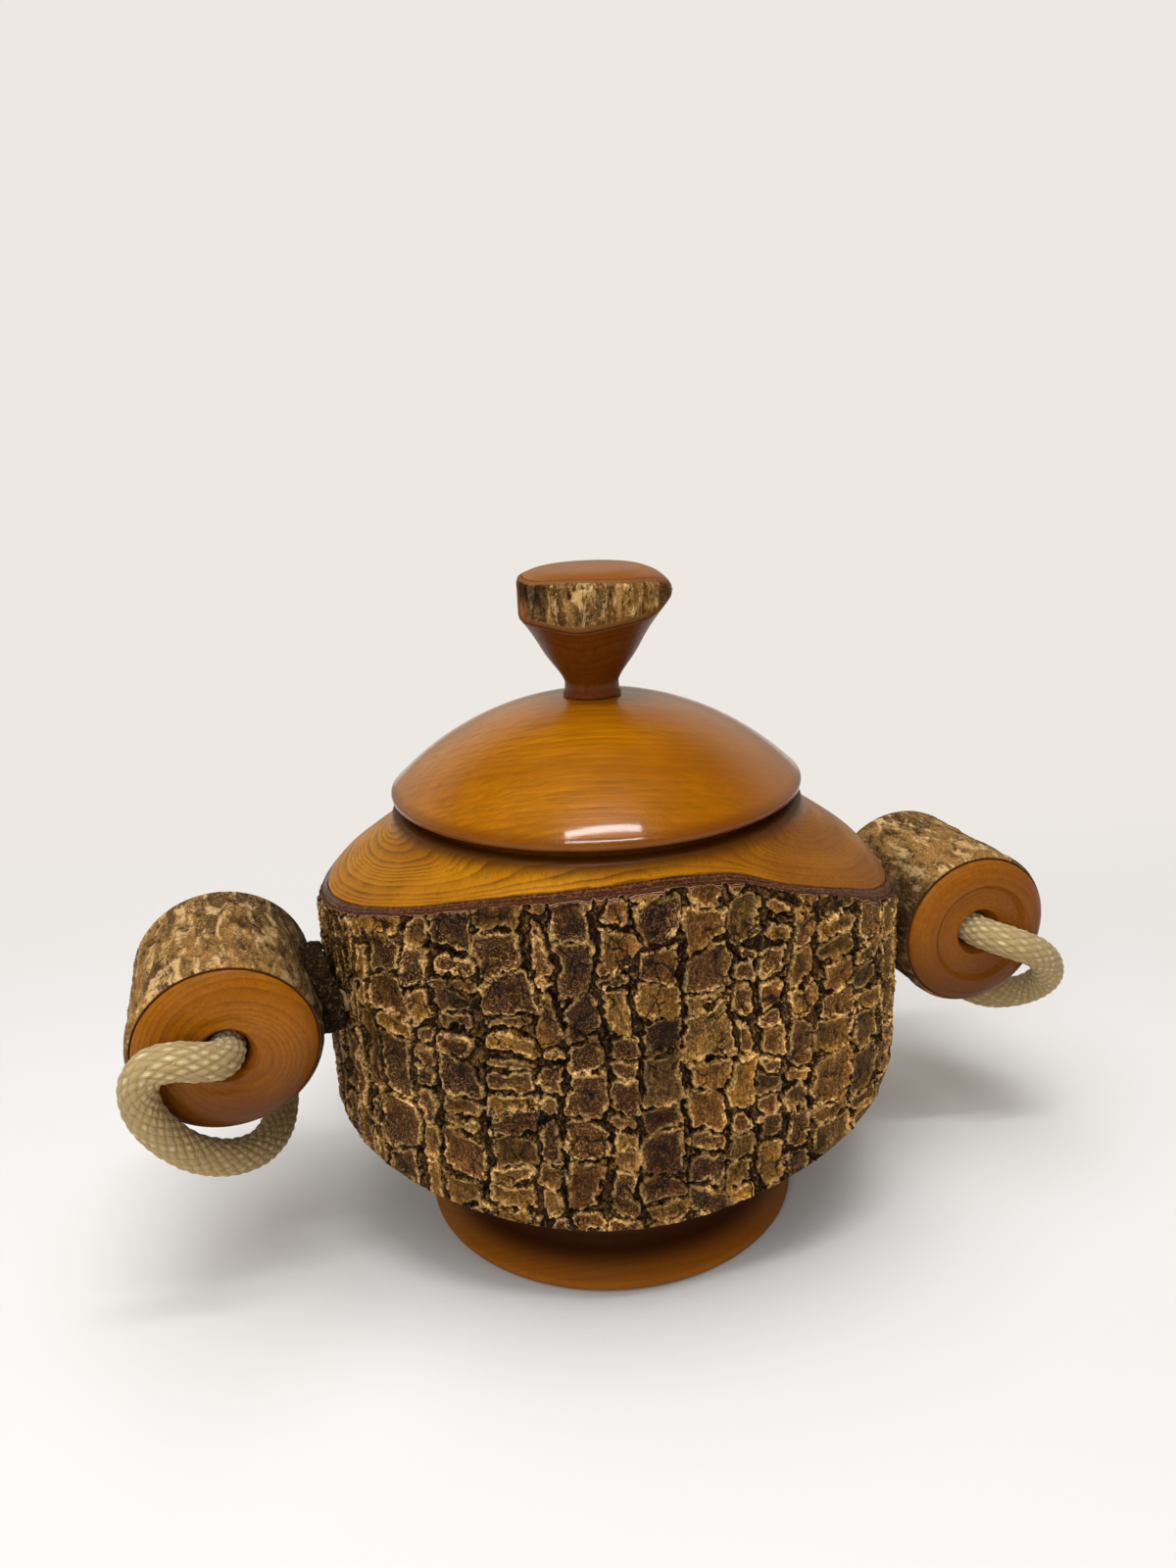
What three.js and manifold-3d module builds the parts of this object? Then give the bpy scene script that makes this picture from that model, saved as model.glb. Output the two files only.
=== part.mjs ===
// A lidded wooden pot turned from one upright log, with the bark left on its belly.
// Two short branch logs, glued and dowelled to the sides, carry rope loops as handles.
// Units are millimetres. Z is up, the foot stands on Z = 0 and the handles lie along X.

import * as THREE from 'three';
import { mergeVertices } from 'three/addons/utils/BufferGeometryUtils.js';
import Module from 'manifold-3d';

const wasm = await Module();
wasm.setup();

// Clearance that is left between two pieces that touch.
const FIT = 0.3;

// Foot.
const FOOT_RADIUS = 69.6;
const FOOT_LIP = 5;
const WAIST_RADIUS = 58.4;
const WAIST_HEIGHT = 19;

// Log that the pot is turned from. The wood's outline is LOG_RADIUS and a departure at each bearing.
const LOG_RADIUS = 92;
const LOG_DEPARTURES = [
  [0, 10], [30, 6], [60, 0], [90, -5], [120, -3], [150, 3], [172, 4.5], [190, 1.5], [207, -5.5],
  [222, -12.2], [241, -16.7], [259, -18.4], [275, -18.4], [289, -15.2], [298, -8.5], [311, 0.4],
  [322, 6.5], [338, 10.2],
];
const INNER_BARK = 1.8;
const OUTER_BARK = 2.8;
const FURROW_COUNT = 44;
const FURROW_DEPTH = 1.6;

// Hollow.
const RIM_HEIGHT = 161.2;
const MOUTH_RADIUS = 54;
const NECK_LENGTH = 29.2;
const NECK_TAPER = 20;
const CAVITY_RADIUS = 60;
const FLOOR_THICKNESS = 26;
const FLOOR_FILLET = 20;

// Outside of the turned body. The belly is wider than the log, so the lathe never reaches the bark there.
const SEAT_WIDTH = 11.5;
const COLLAR_WALL = 18.2;
const COLLAR_DROP = 2.9;
const SHOULDER_HEIGHT = 48.3;
const BELLY_MARGIN = 18;
const BELLY_LOW = 72;
const UNDERSIDE_HEIGHT = 30.5;

// Lid.
const LID_OVERHANG = -0.2;
const LID_EDGE = 3.5;
const LID_RISE = 29;
const SPIGOT_DEPTH = 11.5;
const SPIGOT_CLEARANCE = 0.6;
const SPIGOT_WALL = 9.4;
const LID_CEILING = 15;

// Knob, a piece of a thinner branch turned to a cone.
const STEM_RADIUS = 9.4;
const TENON_RADIUS = 6;
const TENON_LENGTH = 9.5;
const KNOB_HEIGHT = 44.6;
const KNOB_BRANCH = 25.4;
const KNOB_FLARE = 3.2;
const KNOB_CROWN = 9.6;
const KNOB_BARK = 2;

// Handles. Each is an oval branch log across the pot, with domed ends and a rope bore.
const DOWEL_RADIUS = 4;
const DOWEL_LENGTH = 42;
const DOWEL_SPREAD = 13;
const DOWEL_IN_LOG = 20;
const BRANCH_BARK = 2;
const ROPE_DIAMETER = 12.4;
const ROPE_CLEARANCE = 0.45;
const BORE_FLARE = 2.6;
const BORE_FLARE_DEPTH = 6;
const GLUE_HALF_LENGTH = 20;
const GLUE_HALF_HEIGHT = 15;

const LEFT = {
  side: 'left',
  sign: -1,
  halfWidth: 30.8,
  halfHeight: 29.3,
  halfLength: 28.4,
  centreHeight: 100,
  glue: 3.2,
  domeDepth: 9,
  dishRadius: 14,
  dishDepth: 0.9,
};
const RIGHT = {
  side: 'right',
  sign: 1,
  halfWidth: 31.5,
  halfHeight: 30.7,
  halfLength: 24.6,
  centreHeight: 91.7,
  glue: 2.2,
  domeDepth: 9,
  dishRadius: 19.8,
  dishDepth: 2.4,
};

// Routes of the two ropes, from the middle of each bore's front half, out and round to its rear half.
// They are measured from the middle of the bore.
const LEFT_ROPE = [
  [0, -12, 0], [0, -24, 0], [0, -34, 0], [-2, -41.5, 1.5], [-7.5, -46, 4.5], [-14.5, -47.8, 7],
  [-21.5, -47.2, 6], [-25.5, -45.5, 0.5], [-26.3, -43.5, -7], [-25, -41.8, -14], [-21.8, -39.6, -21.5],
  [-14.5, -34.5, -33], [-5, -26.5, -42.5], [4, -15.5, -48.8], [10, -2.5, -51.8], [13, 10, -52.5],
  [14.8, 23, -49.5], [15.3, 35, -42.5], [14, 44, -32.5], [10.5, 49, -21], [6, 49, -9.8],
  [2, 44.5, -2.3], [0, 36.5, 0], [0, 26, 0], [0, 13, 0],
];
const RIGHT_ROPE = [
  [0, -10, 0], [0, -21, 0], [0.3, -31, 0], [3, -38, -0.2], [9, -42, -2.2], [18, -42, -7],
  [26.5, -38, -14.5], [32.5, -32, -23], [35.5, -24.5, -31], [35.5, -16.5, -38], [32.5, -8, -43.5],
  [29, 1, -47], [26.5, 11, -48], [25, 21, -45.5], [23.5, 30, -40], [20.5, 37, -32], [16, 41.5, -22.5],
  [10, 42, -12.5], [5, 39, -4.7], [1, 34, -0.7], [0, 27, 0], [0, 18, 0], [0, 8, 0],
];

// Fineness of the facets.
const LATHE_STEPS = 42;
const SMALL_LATHE_STEPS = 20;
const OUTLINE_STEPS = 56;
const FURROW_STEPS = 3;
const ROPE_STEPS = 38;
const ROPE_SIDES = 8;

// Colours of the finishes.
const AMBER_WOOD = { color: 0x9a5614, roughness: 0.35, metalness: 0 };
const LID_WOOD = { color: 0xa8640f, roughness: 0.22, metalness: 0 };
const RED_WOOD = { color: 0x7d3c14, roughness: 0.4, metalness: 0 };
const DARK_BARK = { color: 0x3d241b, roughness: 0.7, metalness: 0 };
const ROUGH_BARK = { color: 0x7a603c, roughness: 0.95, metalness: 0 };
const BRANCH_SKIN = { color: 0x8d7149, roughness: 0.95, metalness: 0 };
const GLUE_DUST = { color: 0x2b2119, roughness: 0.95, metalness: 0 };
const DOWEL_WOOD = { color: 0xb88f5a, roughness: 0.7, metalness: 0 };
const ROPE_FIBRE = { color: 0xa9966a, roughness: 0.85, metalness: 0 };

// Turns a closed geometry into a solid whose faces point outwards.
function toSolid(geometry) {
  const bare = geometry.clone();
  bare.deleteAttribute('normal');
  bare.deleteAttribute('uv');
  const merged = mergeVertices(bare, 1e-4);
  const points = merged.attributes.position.array;
  const triangles = [];
  let volume = 0;
  for (let i = 0; i < merged.index.count; i += 3) {
    const [a, b, c] = [0, 1, 2].map((k) => merged.index.getX(i + k));
    if (a === b || b === c || c === a) continue;
    triangles.push(a, b, c);
    const corner = [a, b, c].map((k) => new THREE.Vector3().fromArray(points, 3 * k));
    volume += corner[0].dot(corner[1].cross(corner[2]));
  }
  if (volume < 0) triangles.reverse();
  const mesh = new wasm.Mesh({
    numProp: 3,
    vertProperties: new Float32Array(points),
    triVerts: new Uint32Array(triangles),
  });
  return new wasm.Manifold(mesh);
}

function toGeometry(solid) {
  const mesh = solid.getMesh();
  const geometry = new THREE.BufferGeometry();
  geometry.setAttribute('position', new THREE.BufferAttribute(mesh.vertProperties, 3));
  geometry.setIndex(new THREE.BufferAttribute(mesh.triVerts, 1));
  geometry.computeVertexNormals();
  return geometry;
}

function piece(name, solid, finish) {
  const mesh = new THREE.Mesh(toGeometry(solid), new THREE.MeshStandardMaterial(finish));
  mesh.name = name;
  return mesh;
}

// A profile of [radius, height] points turned about Z.
function turned(profile, steps) {
  const points = profile.map(([radius, height]) => new THREE.Vector2(radius, height));
  return new THREE.LatheGeometry(points, steps).rotateX(Math.PI / 2);
}

// Points on a smooth line through the given [radius, height] points.
function smooth(points, steps) {
  const curve = new THREE.SplineCurve(points.map(([x, y]) => new THREE.Vector2(x, y)));
  return curve.getPoints(steps).map((p) => [p.x, p.y]);
}

// Points on an arc round a centre, between two bearings in degrees.
function arc(centreX, centreY, radius, from, to, steps) {
  return Array.from({ length: steps + 1 }, (_, i) => {
    const angle = THREE.MathUtils.degToRad(from + ((to - from) * i) / steps);
    return [centreX + radius * Math.cos(angle), centreY + radius * Math.sin(angle)];
  });
}

function roundBar(radius, length, steps) {
  return new THREE.CylinderGeometry(radius, radius, length, steps);
}

// The log's own outline seen from above, moved outwards by a distance.
const OUTLINE = new THREE.CatmullRomCurve3(
  LOG_DEPARTURES.map(([degrees, departure]) => {
    const angle = THREE.MathUtils.degToRad(degrees);
    const reach = LOG_RADIUS + departure;
    return new THREE.Vector3(reach * Math.cos(angle), reach * Math.sin(angle), 0);
  }),
  true,
);

function outlinePoint(along, outwards) {
  const point = OUTLINE.getPointAt(along);
  const tangent = OUTLINE.getTangentAt(along);
  return new THREE.Vector2(point.x + tangent.y * outwards, point.y - tangent.x * outwards);
}

function outlinePoints(outwards) {
  return Array.from({ length: OUTLINE_STEPS }, (_, i) => outlinePoint(i / OUTLINE_STEPS, outwards));
}

// The same outline with a furrow between each two ridges of bark.
function furrowedPoints(outwards) {
  const steps = FURROW_COUNT * FURROW_STEPS;
  return Array.from({ length: steps }, (_, i) => {
    const dip = i % FURROW_STEPS === 0 ? FURROW_DEPTH : 0;
    return outlinePoint(i / steps, outwards - dip);
  });
}

function logSolid(points) {
  const shape = new THREE.Shape(points);
  const depth = RIM_HEIGHT + 20;
  return toSolid(new THREE.ExtrudeGeometry(shape, { depth, bevelEnabled: false }).translate(0, 0, -10));
}

// How far the log, moved outwards, reaches along X on one side.
function reachAlongX(outwards, sign) {
  return Math.max(...outlinePoints(outwards).map((p) => p.x * sign));
}

// The outside that the lathe cuts, from the middle of the foot up to the seat of the lid.
const BELLY_RADIUS = LOG_RADIUS + BELLY_MARGIN;
const COLLAR_RADIUS = MOUTH_RADIUS + COLLAR_WALL;
const SEAT_RADIUS = MOUTH_RADIUS + SEAT_WIDTH;
const EASED_EDGE = 0.8;

// A curve given by its shares of the way from one [radius, height] point to another.
function between([fromRadius, fromHeight], [toRadius, toHeight], shares) {
  return shares.map(([across, up]) => [
    fromRadius + across * (toRadius - fromRadius),
    fromHeight + up * (toHeight - fromHeight),
  ]);
}

function outsideProfile() {
  const lipRadius = FOOT_LIP / 2;
  const lip = arc(FOOT_RADIUS - lipRadius, lipRadius, lipRadius, -60, 45, 3);
  const waist = [WAIST_RADIUS, WAIST_HEIGHT];
  const cove = between([FOOT_RADIUS - 2, FOOT_LIP], waist, [[0, 0], [0.39, 0.29], [0.85, 0.61], [1, 1]]);
  const turnUnder = between(waist, [WAIST_RADIUS + 17, UNDERSIDE_HEIGHT], [[0.18, 0.57], [0.53, 0.81]]);
  const underside = between([WAIST_RADIUS + 17, UNDERSIDE_HEIGHT], [BELLY_RADIUS, BELLY_LOW], [
    [0, 0], [0.31, 0.19], [0.57, 0.37], [0.83, 0.63], [1, 1],
  ]);
  const shoulderTop = RIM_HEIGHT - COLLAR_DROP;
  const shoulder = between([COLLAR_RADIUS, shoulderTop], [BELLY_RADIUS, shoulderTop - SHOULDER_HEIGHT], [
    [1, 1], [0.815, 0.69], [0.614, 0.482], [0.39, 0.344], [0.193, 0.234], [0.048, 0.13], [0, 0.041],
  ]);
  const collar = [
    [COLLAR_RADIUS - EASED_EDGE, shoulderTop - EASED_EDGE],
    [COLLAR_RADIUS - 2.5 * EASED_EDGE, shoulderTop],
    [SEAT_RADIUS + EASED_EDGE, shoulderTop],
    [SEAT_RADIUS, shoulderTop + EASED_EDGE],
    [SEAT_RADIUS, RIM_HEIGHT],
  ];
  return [
    [0, 0],
    [FOOT_RADIUS - 1.6 * lipRadius, 0],
    ...lip,
    ...smooth([...cove, ...turnUnder, ...underside], 15),
    ...smooth(shoulder, 10),
    ...collar,
  ];
}

function cavityProfile() {
  const neckBottom = RIM_HEIGHT - NECK_LENGTH;
  const cavityTop = neckBottom - NECK_TAPER;
  const fillet = arc(CAVITY_RADIUS - FLOOR_FILLET, FLOOR_THICKNESS + FLOOR_FILLET, FLOOR_FILLET, 0, -90, 5);
  return [
    [MOUTH_RADIUS + EASED_EDGE, RIM_HEIGHT],
    [MOUTH_RADIUS, RIM_HEIGHT - EASED_EDGE],
    ...between([MOUTH_RADIUS, neckBottom], [CAVITY_RADIUS, cavityTop], [[0, 0], [0.7, 0.5], [1, 1]]),
    ...fillet,
    [0, FLOOR_THICKNESS],
  ];
}

// Where each handle sits: its log's middle, worked out from the bark it is bedded on.
const BARK_TOTAL = FIT + INNER_BARK + FIT + OUTER_BARK;

function handleCentre(handle) {
  const reach = reachAlongX(BARK_TOTAL, handle.sign) + handle.glue + handle.halfWidth;
  return new THREE.Vector3(handle.sign * reach, 0, handle.centreHeight);
}

function dowelBars(handle, radius, length) {
  const centre = handleCentre(handle);
  const middle = centre.x - handle.sign * (handle.halfWidth - DOWEL_IN_LOG + DOWEL_LENGTH / 2);
  return [-DOWEL_SPREAD, DOWEL_SPREAD].map((y) => {
    const bar = roundBar(radius, length, 16).rotateZ(Math.PI / 2);
    return toSolid(bar.translate(middle, y, centre.z));
  });
}

function withDowelHoles(solid) {
  let result = solid;
  for (const handle of [LEFT, RIGHT]) {
    for (const hole of dowelBars(handle, DOWEL_RADIUS + FIT, DOWEL_LENGTH + 2 * FIT)) {
      result = result.subtract(hole);
    }
  }
  return result;
}

// Pot: wood, inner bark and outer bark are one turned shape cut through a log that isn't round.
function makePot() {
  const hollowShape = toSolid(turned([...outsideProfile(), ...cavityProfile()], LATHE_STEPS));
  const fullShape = toSolid(turned([...outsideProfile(), [0, RIM_HEIGHT]], LATHE_STEPS));
  const innerFrom = FIT;
  const innerTo = innerFrom + INNER_BARK;
  const outerFrom = innerTo + FIT;
  const wood = hollowShape.intersect(logSolid(outlinePoints(0)));
  const innerBark = fullShape
    .intersect(logSolid(outlinePoints(innerTo)))
    .subtract(logSolid(outlinePoints(innerFrom)));
  const outerBark = fullShape
    .intersect(logSolid(furrowedPoints(BARK_TOTAL)))
    .subtract(logSolid(outlinePoints(outerFrom)));
  return [
    piece('pot_body', withDowelHoles(wood), AMBER_WOOD),
    piece('pot_inner_bark', withDowelHoles(innerBark), DARK_BARK),
    piece('pot_outer_bark', withDowelHoles(outerBark), ROUGH_BARK),
  ];
}

// Lid: a shallow dome with a spigot that drops into the mouth, hollowed underneath.
const LID_RADIUS = COLLAR_RADIUS + LID_OVERHANG;
const LID_BOTTOM = RIM_HEIGHT + FIT;
const DOME_BOTTOM = LID_BOTTOM + LID_EDGE;
const STEM_SEAT_RADIUS = STEM_RADIUS + 1.2;

function domeHeight(radius) {
  const chord = LID_RADIUS - 1;
  const domeRadius = (chord * chord + LID_RISE * LID_RISE) / (2 * LID_RISE);
  return DOME_BOTTOM + LID_RISE - domeRadius + Math.sqrt(domeRadius * domeRadius - radius * radius);
}

const STEM_SEAT = domeHeight(STEM_SEAT_RADIUS);
const TENON_BOTTOM = STEM_SEAT - TENON_LENGTH;

function makeLid() {
  const spigotRadius = MOUTH_RADIUS - SPIGOT_CLEARANCE;
  const hollowRadius = spigotRadius - SPIGOT_WALL;
  const spigotBottom = LID_BOTTOM - SPIGOT_DEPTH;
  const ceiling = LID_BOTTOM + LID_CEILING;
  const holeRadius = TENON_RADIUS + FIT;
  const domeRadii = Array.from({ length: 9 }, (_, i) => {
    return LID_RADIUS - 1 - ((LID_RADIUS - 1 - STEM_SEAT_RADIUS) * i) / 8;
  });
  const profile = [
    [0, ceiling],
    [hollowRadius - 14, ceiling - 0.5],
    [hollowRadius - 5, ceiling - 4],
    [hollowRadius, ceiling - 12],
    [hollowRadius, spigotBottom + 1],
    [hollowRadius + 1, spigotBottom],
    [spigotRadius - 1, spigotBottom],
    [spigotRadius, spigotBottom + 1],
    [spigotRadius, LID_BOTTOM],
    [LID_RADIUS - 1.2, LID_BOTTOM],
    [LID_RADIUS - 0.2, LID_BOTTOM + 0.8],
    [LID_RADIUS, LID_BOTTOM + 1.8],
    ...domeRadii.map((radius) => [radius, domeHeight(radius)]),
    [holeRadius, STEM_SEAT],
    [holeRadius, TENON_BOTTOM - FIT],
    [0, TENON_BOTTOM - FIT],
  ];
  return [piece('lid', toSolid(turned(profile, LATHE_STEPS)), LID_WOOD)];
}

// Knob: the same cut through a branch that isn't round leaves bark on its widest part only.
function branchOutline(inwards) {
  const steps = SMALL_LATHE_STEPS;
  return Array.from({ length: steps }, (_, i) => {
    const angle = (2 * Math.PI * i) / steps;
    const wave = 1.9 * Math.cos(angle + 0.3) + 1.5 * Math.cos(2 * angle) + 0.4 * Math.cos(5 * angle + 1);
    const reach = KNOB_BRANCH + wave - inwards;
    return new THREE.Vector2(reach * Math.cos(angle), reach * Math.sin(angle));
  });
}

function branchSolid(inwards, bottom, top) {
  const shape = new THREE.Shape(branchOutline(inwards));
  const solid = new THREE.ExtrudeGeometry(shape, { depth: top - bottom, bevelEnabled: false });
  return toSolid(solid.translate(0, 0, bottom));
}

function makeKnob() {
  const base = STEM_SEAT + FIT;
  const top = base + KNOB_HEIGHT;
  const tip = top - KNOB_CROWN;
  const widest = KNOB_BRANCH + KNOB_FLARE;
  const cone = [
    [STEM_RADIUS + 0.8, base],
    [STEM_RADIUS + 0.1, base + 1.6],
    [STEM_RADIUS, base + 5],
    [STEM_RADIUS + 1.6, base + 8],
    [widest - 1.6, tip - 3.4],
    [widest - 0.3, tip - 1.4],
    ...between([widest, tip], [0, top], [[0, 0], [0.03, 0.25], [0.12, 0.54], [0.25, 0.77], [0.47, 0.94]]),
  ];
  const tenonBottom = TENON_BOTTOM;
  const profile = [[0, tenonBottom], [TENON_RADIUS, tenonBottom], [TENON_RADIUS, base], ...cone, [0, top]];
  const shape = toSolid(turned(profile, SMALL_LATHE_STEPS));
  const wood = branchSolid(KNOB_BARK + FIT, tenonBottom - 5, top + 5);
  const barkOuter = branchSolid(0, base, top + 5);
  const barkInner = branchSolid(KNOB_BARK, base - 5, top + 10);
  return [
    piece('knob', shape.intersect(wood), RED_WOOD),
    piece('knob_bark', shape.intersect(barkOuter).subtract(barkInner), BRANCH_SKIN),
  ];
}

// One handle: log, bark, rope loop, glue bed and two dowels.
function handleShape(handle) {
  const end = handle.halfLength + handle.domeDepth;
  const shoulderRadius = handle.halfWidth;
  const half = [
    ...arc(0, 0, 1, 0, 90, 5).map(([x, y]) => [
      handle.dishRadius + (shoulderRadius - handle.dishRadius) * x,
      handle.halfLength + handle.domeDepth * y,
    ]),
    [handle.dishRadius - 2, end - handle.dishDepth * 0.7],
    [0, end - handle.dishDepth],
  ];
  const other = half.map(([r, z]) => [r, -z]).reverse();
  return turned([...other, ...half], SMALL_LATHE_STEPS).rotateX(Math.PI / 2);
}

function ovalBar(handle, inwards, extra) {
  const bar = roundBar(1, 2 * (handle.halfLength + handle.domeDepth) + extra, SMALL_LATHE_STEPS);
  return toSolid(bar.scale(handle.halfWidth - inwards, 1, handle.halfHeight - inwards));
}

// The rope's bore, eased at both mouths so that the rope can bend over the edge.
function ropeBore(handle) {
  const radius = ROPE_DIAMETER / 2 + ROPE_CLEARANCE;
  const face = handle.halfLength + handle.domeDepth - handle.dishDepth;
  const half = [
    [radius, face - BORE_FLARE_DEPTH],
    [radius + BORE_FLARE * 0.35, face - BORE_FLARE_DEPTH * 0.4],
    [radius + BORE_FLARE, face],
    [radius + BORE_FLARE, face + 10],
    [0, face + 10],
  ];
  const other = half.map(([r, z]) => [r, -z]).reverse();
  return toSolid(turned([...other, ...half], SMALL_LATHE_STEPS).rotateX(Math.PI / 2));
}

function ropeLoop(route) {
  const curve = new THREE.CatmullRomCurve3(route.map((p) => new THREE.Vector3(...p)), false, 'centripetal');
  const section = new THREE.Shape();
  section.absarc(0, 0, ROPE_DIAMETER / 2, 0, 2 * Math.PI);
  return toSolid(new THREE.ExtrudeGeometry(section, {
    steps: ROPE_STEPS,
    curveSegments: ROPE_SIDES / 2,
    extrudePath: curve,
    bevelEnabled: false,
  }));
}

function glueBed(handle, centre) {
  const bar = roundBar(1, handle.halfWidth, 32).rotateZ(Math.PI / 2);
  bar.scale(1, GLUE_HALF_LENGTH, GLUE_HALF_HEIGHT);
  const middle = centre.x - handle.sign * handle.halfWidth;
  const plug = toSolid(bar.translate(middle, 0, centre.z));
  const log = ovalBar(handle, -FIT, 0).translate(centre.toArray());
  let bed = plug.subtract(logSolid(outlinePoints(BARK_TOTAL + FIT))).subtract(log);
  for (const hole of dowelBars(handle, DOWEL_RADIUS + FIT, DOWEL_LENGTH + 2 * FIT)) {
    bed = bed.subtract(hole);
  }
  return bed;
}

function makeHandle(handle, route) {
  const centre = handleCentre(handle);
  const group = new THREE.Group();
  group.position.copy(centre);
  const oval = handle.halfHeight / handle.halfWidth;
  const shape = toSolid(handleShape(handle).scale(1, 1, oval)).subtract(ropeBore(handle));
  const toLocal = centre.clone().negate().toArray();
  const cutDowels = (solid) => withDowelHoles(solid.translate(centre.toArray())).translate(toLocal);
  const log = shape.intersect(ovalBar(handle, BRANCH_BARK + FIT, 20));
  const bark = shape.subtract(ovalBar(handle, BRANCH_BARK, 20));
  group.add(piece(`${handle.side}_handle_log`, cutDowels(log), AMBER_WOOD));
  group.add(piece(`${handle.side}_handle_bark`, cutDowels(bark), BRANCH_SKIN));
  group.add(piece(`${handle.side}_rope_loop`, ropeLoop(route), ROPE_FIBRE));
  group.add(piece(`${handle.side}_glue_bed`, glueBed(handle, centre).translate(toLocal), GLUE_DUST));
  const dowels = dowelBars(handle, DOWEL_RADIUS, DOWEL_LENGTH);
  ['front', 'rear'].forEach((place, i) => {
    group.add(piece(`${handle.side}_dowel_${place}`, dowels[i].translate(toLocal), DOWEL_WOOD));
  });
  return group;
}

const pot = new THREE.Group();
pot.add(...makePot(), ...makeLid(), ...makeKnob());
pot.add(makeHandle(LEFT, LEFT_ROPE), makeHandle(RIGHT, RIGHT_ROPE));

export default pot;
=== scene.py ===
import math

import bpy
import numpy as np
from mathutils import Matrix, Vector


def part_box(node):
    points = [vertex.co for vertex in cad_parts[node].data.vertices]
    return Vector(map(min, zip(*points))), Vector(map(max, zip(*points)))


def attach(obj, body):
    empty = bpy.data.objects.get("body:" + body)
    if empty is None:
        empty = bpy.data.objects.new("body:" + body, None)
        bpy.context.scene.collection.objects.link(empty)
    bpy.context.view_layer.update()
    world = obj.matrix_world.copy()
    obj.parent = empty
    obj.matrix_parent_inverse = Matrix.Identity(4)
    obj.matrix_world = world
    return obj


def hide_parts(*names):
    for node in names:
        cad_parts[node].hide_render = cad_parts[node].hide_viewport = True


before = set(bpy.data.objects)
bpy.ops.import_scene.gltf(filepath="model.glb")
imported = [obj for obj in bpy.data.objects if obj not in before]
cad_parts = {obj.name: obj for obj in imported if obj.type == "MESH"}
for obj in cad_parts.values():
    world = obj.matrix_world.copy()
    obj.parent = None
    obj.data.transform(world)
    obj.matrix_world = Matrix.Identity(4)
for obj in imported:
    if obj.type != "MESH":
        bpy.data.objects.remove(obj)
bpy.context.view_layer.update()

bl_info = {
    "name": "Lidded bark pot",
    "version": (1, 0, 0),
    "blender": (4, 5, 0),
    "location": "View3D > Sidebar > Pot",
    "description": "Builds a turned log pot with its bark, lid, knob and rope handles",
    "category": "Object",
}

# Every size below is in millimetres, as in the part's source, and MM takes it to metres.
MM = 0.001
TURN = 2 * math.pi

# The log's outline, seen from above, as a bearing in degrees and a departure from its radius.
LOG_RADIUS = 92
LOG_DEPARTURES = [
    (0, 10), (30, 6), (60, 0), (90, -5), (120, -3), (150, 3), (172, 4.5), (190, 1.5), (207, -5.5),
    (222, -12.2), (241, -16.7), (259, -18.4), (275, -18.4), (289, -15.2), (298, -8.5), (311, 0.4),
    (322, 6.5), (338, 10.2),
]
BAND_FROM, BAND_TO = 0.3, 2.1
BARK_FROM, BARK_TO = 2.4, 5.2

# Turned outside and hollow of the pot.
FOOT_RADIUS, FOOT_LIP = 69.6, 5
WAIST_RADIUS, WAIST_HEIGHT = 58.4, 19
UNDERSIDE_HEIGHT, BELLY_RADIUS, BELLY_LOW = 30.5, 110, 72
RIM_HEIGHT, MOUTH_RADIUS, SEAT_RADIUS, COLLAR_RADIUS = 161.2, 54, 65.5, 72.2
SHOULDER_TOP, SHOULDER_HEIGHT = 158.3, 48.3
NECK_BOTTOM, CAVITY_TOP, CAVITY_RADIUS = 132, 112, 60
FLOOR_THICKNESS, FLOOR_FILLET = 26, 20
EASED_EDGE = 0.8

# Lid and knob.
LID_RADIUS, LID_BOTTOM, LID_EDGE, LID_RISE = 72, 161.5, 3.5, 29
SPIGOT_RADIUS, SPIGOT_WALL, SPIGOT_DEPTH, LID_CEILING = 53.4, 9.4, 11.5, 15
STEM_RADIUS, KNOB_HEIGHT, KNOB_BRANCH, KNOB_FLARE, KNOB_CROWN = 9.4, 44.6, 25.4, 3.2, 9.6
KNOB_BARK = 2.0

# Handles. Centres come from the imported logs.
BRANCH_BARK = 2.0
ROPE_RADIUS = 6.2
BORE_RADIUS, BORE_FLARE, BORE_FLARE_DEPTH = 6.65, 2.6, 6
LEFT = dict(side="left", sign=-1, half_width=30.8, half_height=29.3, half_length=28.4,
            dome=9, dish_radius=14, dish_depth=0.9)
RIGHT = dict(side="right", sign=1, half_width=31.5, half_height=30.7, half_length=24.6,
             dome=9, dish_radius=19.8, dish_depth=2.4)

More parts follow.
